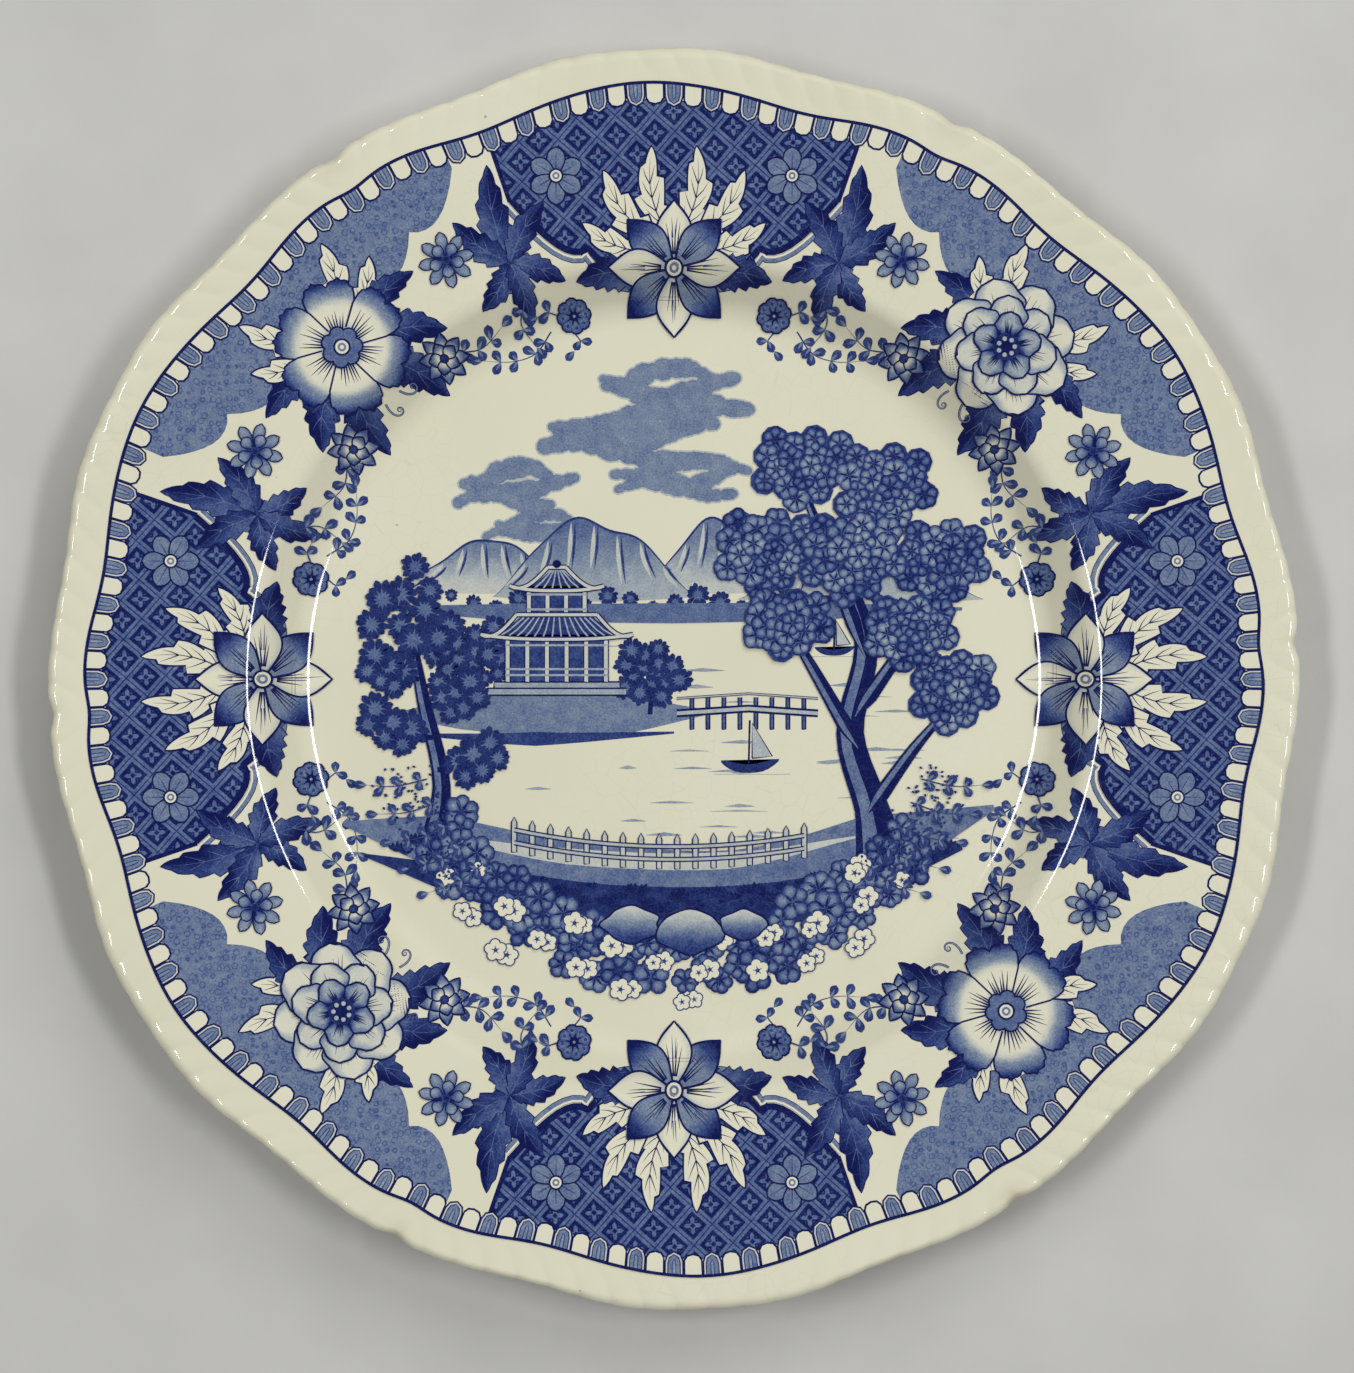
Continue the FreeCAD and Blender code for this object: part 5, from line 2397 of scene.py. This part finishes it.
    @staticmethod
    def _bank(s: Scenery) -> None:
        """The near bank across the foot of the scene, darker towards its edge.

        Args:
            s: what it is drawn with.
        """
        s.ribbon([(-62.0, -27.0, 0.4), (-44.0, -30.6, 5.0), (-18.0, -36.4, 6.0), (12.0, -37.6, 5.6),
                  (38.0, -31.6, 6.4),
                  (60.0, -24.0, 0.5)], 0.56)
        s.ribbon([(-58.0, -33.0, 0.3), (-36.0, -38.6, 3.4), (-6.0, -43.2, 4.4), (26.0, -41.0, 4.0),
                  (54.0, -31.6, 0.4)], 0.9)
        s.ribbon([(-46.0, -29.0, 0.2), (-20.0, -33.2, 1.5), (10.0, -34.0, 1.6), (34.0, -29.6, 0.2)], 0.14)
        for k in range(60):
            x = -52 + 1.76 * k
            y = -36.6 - 6.2 * math.cos(x / 40) + 0.0022 * x * x
            s.burst((x, y + s.random.uniform(-1.2, 2.6)), s.random.uniform(1.6, 2.8), 5, 0.96, 30, 120,
                    0.14, 0.05)

    @staticmethod
    def _limb(s: Scenery, nodes: Sequence[tuple[float, float, float]]) -> None:
        """A trunk or branch: dark, with a pale streak down its lit side."""
        s.ribbon(nodes, Tone.DEEP)
        s.ribbon([(x - 0.35 * half, y, half * 0.34) for x, y, half in nodes], 0.56)

    def _tufted_tree(self, s: Scenery) -> None:
        """The slender tree on the left, with dark needle tufts.

        Args:
            s: what it is drawn with.
        """
        self._limb(s, [(-46.0, -34.0, 2.6), (-43.6, -20.0, 1.7), (-47.0, -4.0, 1.3), (-49.6, 10.0, 0.7)])
        for x, y, side, length in ((-44.4, -17.0, 1, 12.0), (-45.2, -11.0, -1, 13.0),
                                   (-46.6, -5.0, 1, 10.0),
                                   (-47.8, 0.0, -1, 10.0), (-48.8, 6.0, 1, 8.0)):
            tip = (x + side * length, y + length * 0.45)
            bough = curve([(x, y), (x + side * length * 0.5, y + length * 0.08), tip])
            s.sheet.stroke(bough, 1.0, Tone.DEEP, Taper.END)
            for index in range(4, len(bough), 3):
                bx, by = bough[index]
                s.tuft((bx, by + 1.3), s.random.uniform(2.8, 3.8))
                s.tuft((bx + side * 1.4, by - 1.6), s.random.uniform(2.0, 2.8))
        for k in range(9):
            dx, dy = polar(3.4 + 2.4 * (k % 3), 40 * k)
            s.tuft((-49.8 + dx * 0.9, 13.0 + dy), s.random.uniform(2.6, 3.6))

    def _great_tree(self, s: Scenery) -> None:
        """The broad tree on the right, its head made of rounded clumps.

        Args:
            s: what it is drawn with.
        """
        self._limb(s, [(39.0, -34.0, 5.0), (37.0, -24.0, 3.2), (33.0, -10.0, 2.6), (36.0, 6.0, 2.2),
                       (32.0, 20.0, 1.2)])
        for start, bend, end in (((34.6, -13.0), (26.0, 2.0), (20.0, 12.0)),
                                 ((34.0, -7.0), (43.0, 6.0), (48.0, 14.0)),
                                 ((36.4, -25.0), (45.0, -13.0), (51.0, -6.0)),
                                 ((36.0, 4.0), (28.0, 26.0), (24.0, 36.0))):
            fork = (start[0] + (bend[0] - start[0]) * 0.3, start[1] + (bend[1] - start[1]) * 0.3)
            self._limb(s, [(*start, 0.2), (*fork, 1.5), (*bend, 1.1), (*end, 0.6)])
        for x, y, wide, tall in ((24.0, 40.0, 9.5, 6.5), (39.0, 36.0, 9.0, 7.5), (50.0, 22.0, 8.0, 7.0),
                                 (17.0, 24.0, 9.5, 7.0), (33.0, 23.0, 9.5, 7.5), (52.0, -2.0, 7.5, 6.5),
                                 (44.0, 9.0, 8.0, 5.5), (21.0, 10.5, 7.5, 5.0)):
            s.clump((x, y), (wide, tall))

    @staticmethod
    def _fence(s: Scenery) -> None:
        """A low paling fence along the bank.

        Args:
            s: what it is drawn with.
        """
        rails = []
        for k in range(17):
            x = -30.0 + 3.4 * k
            y = -33.0 + 0.0035 * x * x
            rails.append((x, y))
            s.block([(x - 0.5, y - 2.6), (x + 0.5, y - 2.6), (x + 0.5, y + 3.0), (x, y + 4.0),
                     (x - 0.5, y + 3.0)], 0.16)
        for lift in (-0.8, 1.6):
            path = [(x, y + lift) for x, y in rails]
            s.sheet.stroke(path, 1.0, Tone.DEEP)
            s.sheet.stroke(path, 0.5, 0.2)

    def _flower_bed(self, s: Scenery) -> None:
        """Round leaves, flowers and sprays below the bank, filling the scene's lower edge.

        Args:
            s: what it is drawn with.
        """
        for k in range(70):
            angle = 212 + 116 * ((k * 0.618) % 1.0)
            deep = 47.0 + (self.reach - 53.0) * ((k * 0.37) % 1.0)
            s.cabbage(polar(deep, angle), s.random.uniform(2.4, 3.5), s.random.uniform(0.46, 0.7))
        for k in range(40):
            angle = 220 + 100 * ((k * 0.618 + 0.3) % 1.0)
            deep = 49.0 + (self.reach - 51.0) * ((k * 0.43) % 1.0)
            s.blossom(polar(deep, angle), s.random.uniform(1.5, 2.3))
        for side in (-1, 1):
            for k in range(5):
                angle = 270 + side * (46 + 5.5 * k)
                s.dotted([polar(50.0, angle), polar(58.0, angle + 2 * side)], 2.4, 34)
                s.sprig([polar(50.0, angle), polar(56.0, angle + side), polar(61.0, angle + 3 * side)], 2.4,
                        3)
        for x, y, size in ((-8.0, -46.0, 5.4), (3.0, -47.4, 6.4), (13.0, -46.0, 4.4)):
            rock = [(x + size * (1 + 0.12 * math.sin(5 * t + x)) * math.cos(t),
                     y + 0.62 * size * (1 + 0.1 * math.cos(4 * t)) * math.sin(t)) for t in
                    (2 * math.pi * k / 12 for k in range(12))]
            s.area(rock, rising(y - size * 0.6, y + size * 0.6, 0.86, 0.12), 0.34)


# ---------------------------------------------------------------- studio


@dataclass(frozen=True)
class StudioSizes:
    """Places and sizes of the floor, the lamps and the camera, in metres."""

    floor_half: float = 3.0
    floor_gap: float = 0.00002
    strip_distance: float = 1.3
    strip_long: float = 0.44
    strip_wide: float = 0.13
    soft_distance: float = 1.8
    soft_across: float = 1.2
    room_light: float = 0.15
    view_height: float = 0.75
    view_width: float = 0.274
    view_ratio: float = 1.014
    view_shift: Point = (0.0006, -0.0015)
    sensor: float = 36.0  # mm


class Studio:
    """A pale floor, soft light and the camera over the plate."""

    def __init__(self, lowest: Vector, highest: Vector) -> None:
        """Keep the plate's box, which everything here is placed by."""
        self.sizes = StudioSizes()
        self.lowest, self.highest = lowest, highest

    def build(self) -> None:
        """Make the floor, the lights, the world and the camera."""
        self._floor()
        self._strip("strip_right", 24.0, 5.0, 5.0)
        self._strip("strip_left", 23.0, 174.0, 5.0)
        self._soft("soft_key", 45.0, 60.0, 11.5)
        self._world()
        self._camera()

    def _floor(self) -> None:
        """A plain pale cloth the plate lies on."""
        cloth = bmesh.new()
        bmesh.ops.create_grid(cloth, x_segments=1, y_segments=1, size=self.sizes.floor_half)
        mesh = bpy.data.meshes.new("floor")
        cloth.to_mesh(mesh)
        cloth.free()
        material = bpy.data.materials.new("floor_cloth")
        material.use_nodes = True
        tree = material.node_tree
        place = tree.nodes.new("ShaderNodeTexCoord").outputs["Object"]
        colour = ramp(tree, noise(tree, place, 30.0, 4.0),
                      [(0.3, linear(197, 196, 192)), (0.7, linear(205, 204, 200))])
        tree.links.new(colour, tree.nodes["Principled BSDF"].inputs["Base Color"])
        tree.nodes["Principled BSDF"].inputs["Roughness"].default_value = 0.95
        mesh.materials.append(material)
        for vertex in mesh.vertices:
            vertex.co.z = self.lowest.z - self.sizes.floor_gap
        floor = bpy.data.objects.new("floor", mesh)
        bpy.context.scene.collection.objects.link(floor)
        floor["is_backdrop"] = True

    def _lamp(self, name: str, tilt: float, around: float, distance: float) -> bpy.types.Object:
        """An area lamp aimed at the plate, tilt degrees off overhead.

        Args:
            name: its name.
            tilt: degrees off overhead.
            around: degrees round the plate.
            distance: from the plate in metres.

        Returns:
            The lamp.
        """
        lamp = bpy.data.objects.new(name, bpy.data.lights.new(name, "AREA"))
        away = math.radians(tilt)
        turn = math.radians(around)
        way = Vector((math.sin(away) * math.cos(turn), math.sin(away) * math.sin(turn), math.cos(away)))
        lamp.location = way * distance
        lamp.rotation_euler = way.to_track_quat("Z", "Y").to_euler()
        bpy.context.scene.collection.objects.link(lamp)
        lamp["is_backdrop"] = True
        return lamp

    def _strip(self, name: str, tilt: float, around: float, power: float) -> None:
        """A narrow lamp whose image runs along the well's wall.

        Args:
            name: its name.
            tilt: degrees off overhead.
            around: degrees round the plate.
            power: its power in watts.
        """
        lamp = self._lamp(name, tilt, around, self.sizes.strip_distance)
        lamp.data.shape = "RECTANGLE"
        lamp.data.size = self.sizes.strip_long
        lamp.data.size_y = self.sizes.strip_wide
        lamp.data.energy = power

    def _soft(self, name: str, tilt: float, around: float, power: float) -> None:
        """A broad soft lamp.

        Args:
            name: its name.
            tilt: degrees off overhead.
            around: degrees round the plate.
            power: its power in watts.
        """
        lamp = self._lamp(name, tilt, around, self.sizes.soft_distance)
        lamp.data.shape = "DISK"
        lamp.data.size = self.sizes.soft_across
        lamp.data.energy = power
        lamp.visible_glossy = False

    def _world(self) -> None:
        """Even light from all round."""
        world = bpy.data.worlds.new("room")
        world.use_nodes = True
        sky = world.node_tree.nodes["Background"]
        sky.inputs["Color"].default_value = (0.93, 0.96, 1.0, 1.0)
        sky.inputs["Strength"].default_value = self.sizes.room_light
        bpy.context.scene.world = world

    def _camera(self) -> None:
        """A camera straight over the plate with its whole outline in view."""
        s = self.sizes
        middle = (self.lowest + self.highest) / 2
        camera = bpy.data.objects.new("camera", bpy.data.cameras.new("camera"))
        camera.data.sensor_width = s.sensor
        camera.data.lens = s.sensor * s.view_height / (s.view_width * s.view_ratio)
        camera.location = (middle.x + s.view_shift[0], middle.y + s.view_shift[1],
                           self.highest.z + s.view_height)
        camera.rotation_euler = (0.0, 0.0, 0.0)
        bpy.context.scene.collection.objects.link(camera)
        bpy.context.scene.camera = camera
        bpy.context.scene.view_settings.view_transform = "Standard"


def main() -> None:
    """Build the plate's looks and the studio round it."""
    logging.basicConfig(level=logging.INFO, format="%(name)s %(message)s")
    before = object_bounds()
    record = frame["record"]
    floor_height = next(m["pos_m"][2] for m in record["mounts"] if m["name"] == "well_floor") / MM
    surface = Surface(WareSizes(), floor_height)
    effects = Effects()
    ware = GlazedWare(effects)
    GlazedPlate(surface, ware).build()
    stack = Stack()
    plain = PrintedGlaze(effects)
    BorderPrint(surface, effects, plain, stack).build()
    CentrePrint(surface, plain, stack).build()
    clay = BiscuitClay(effects)
    for node, material in (("biscuit_body", clay.material), ("foot_glaze", ware.material)):
        model = frame["nodes"][node]
        model.data.materials.clear()
        model.data.materials.append(material)
    Studio(*before).build()


if __name__ == "__main__":
    main()
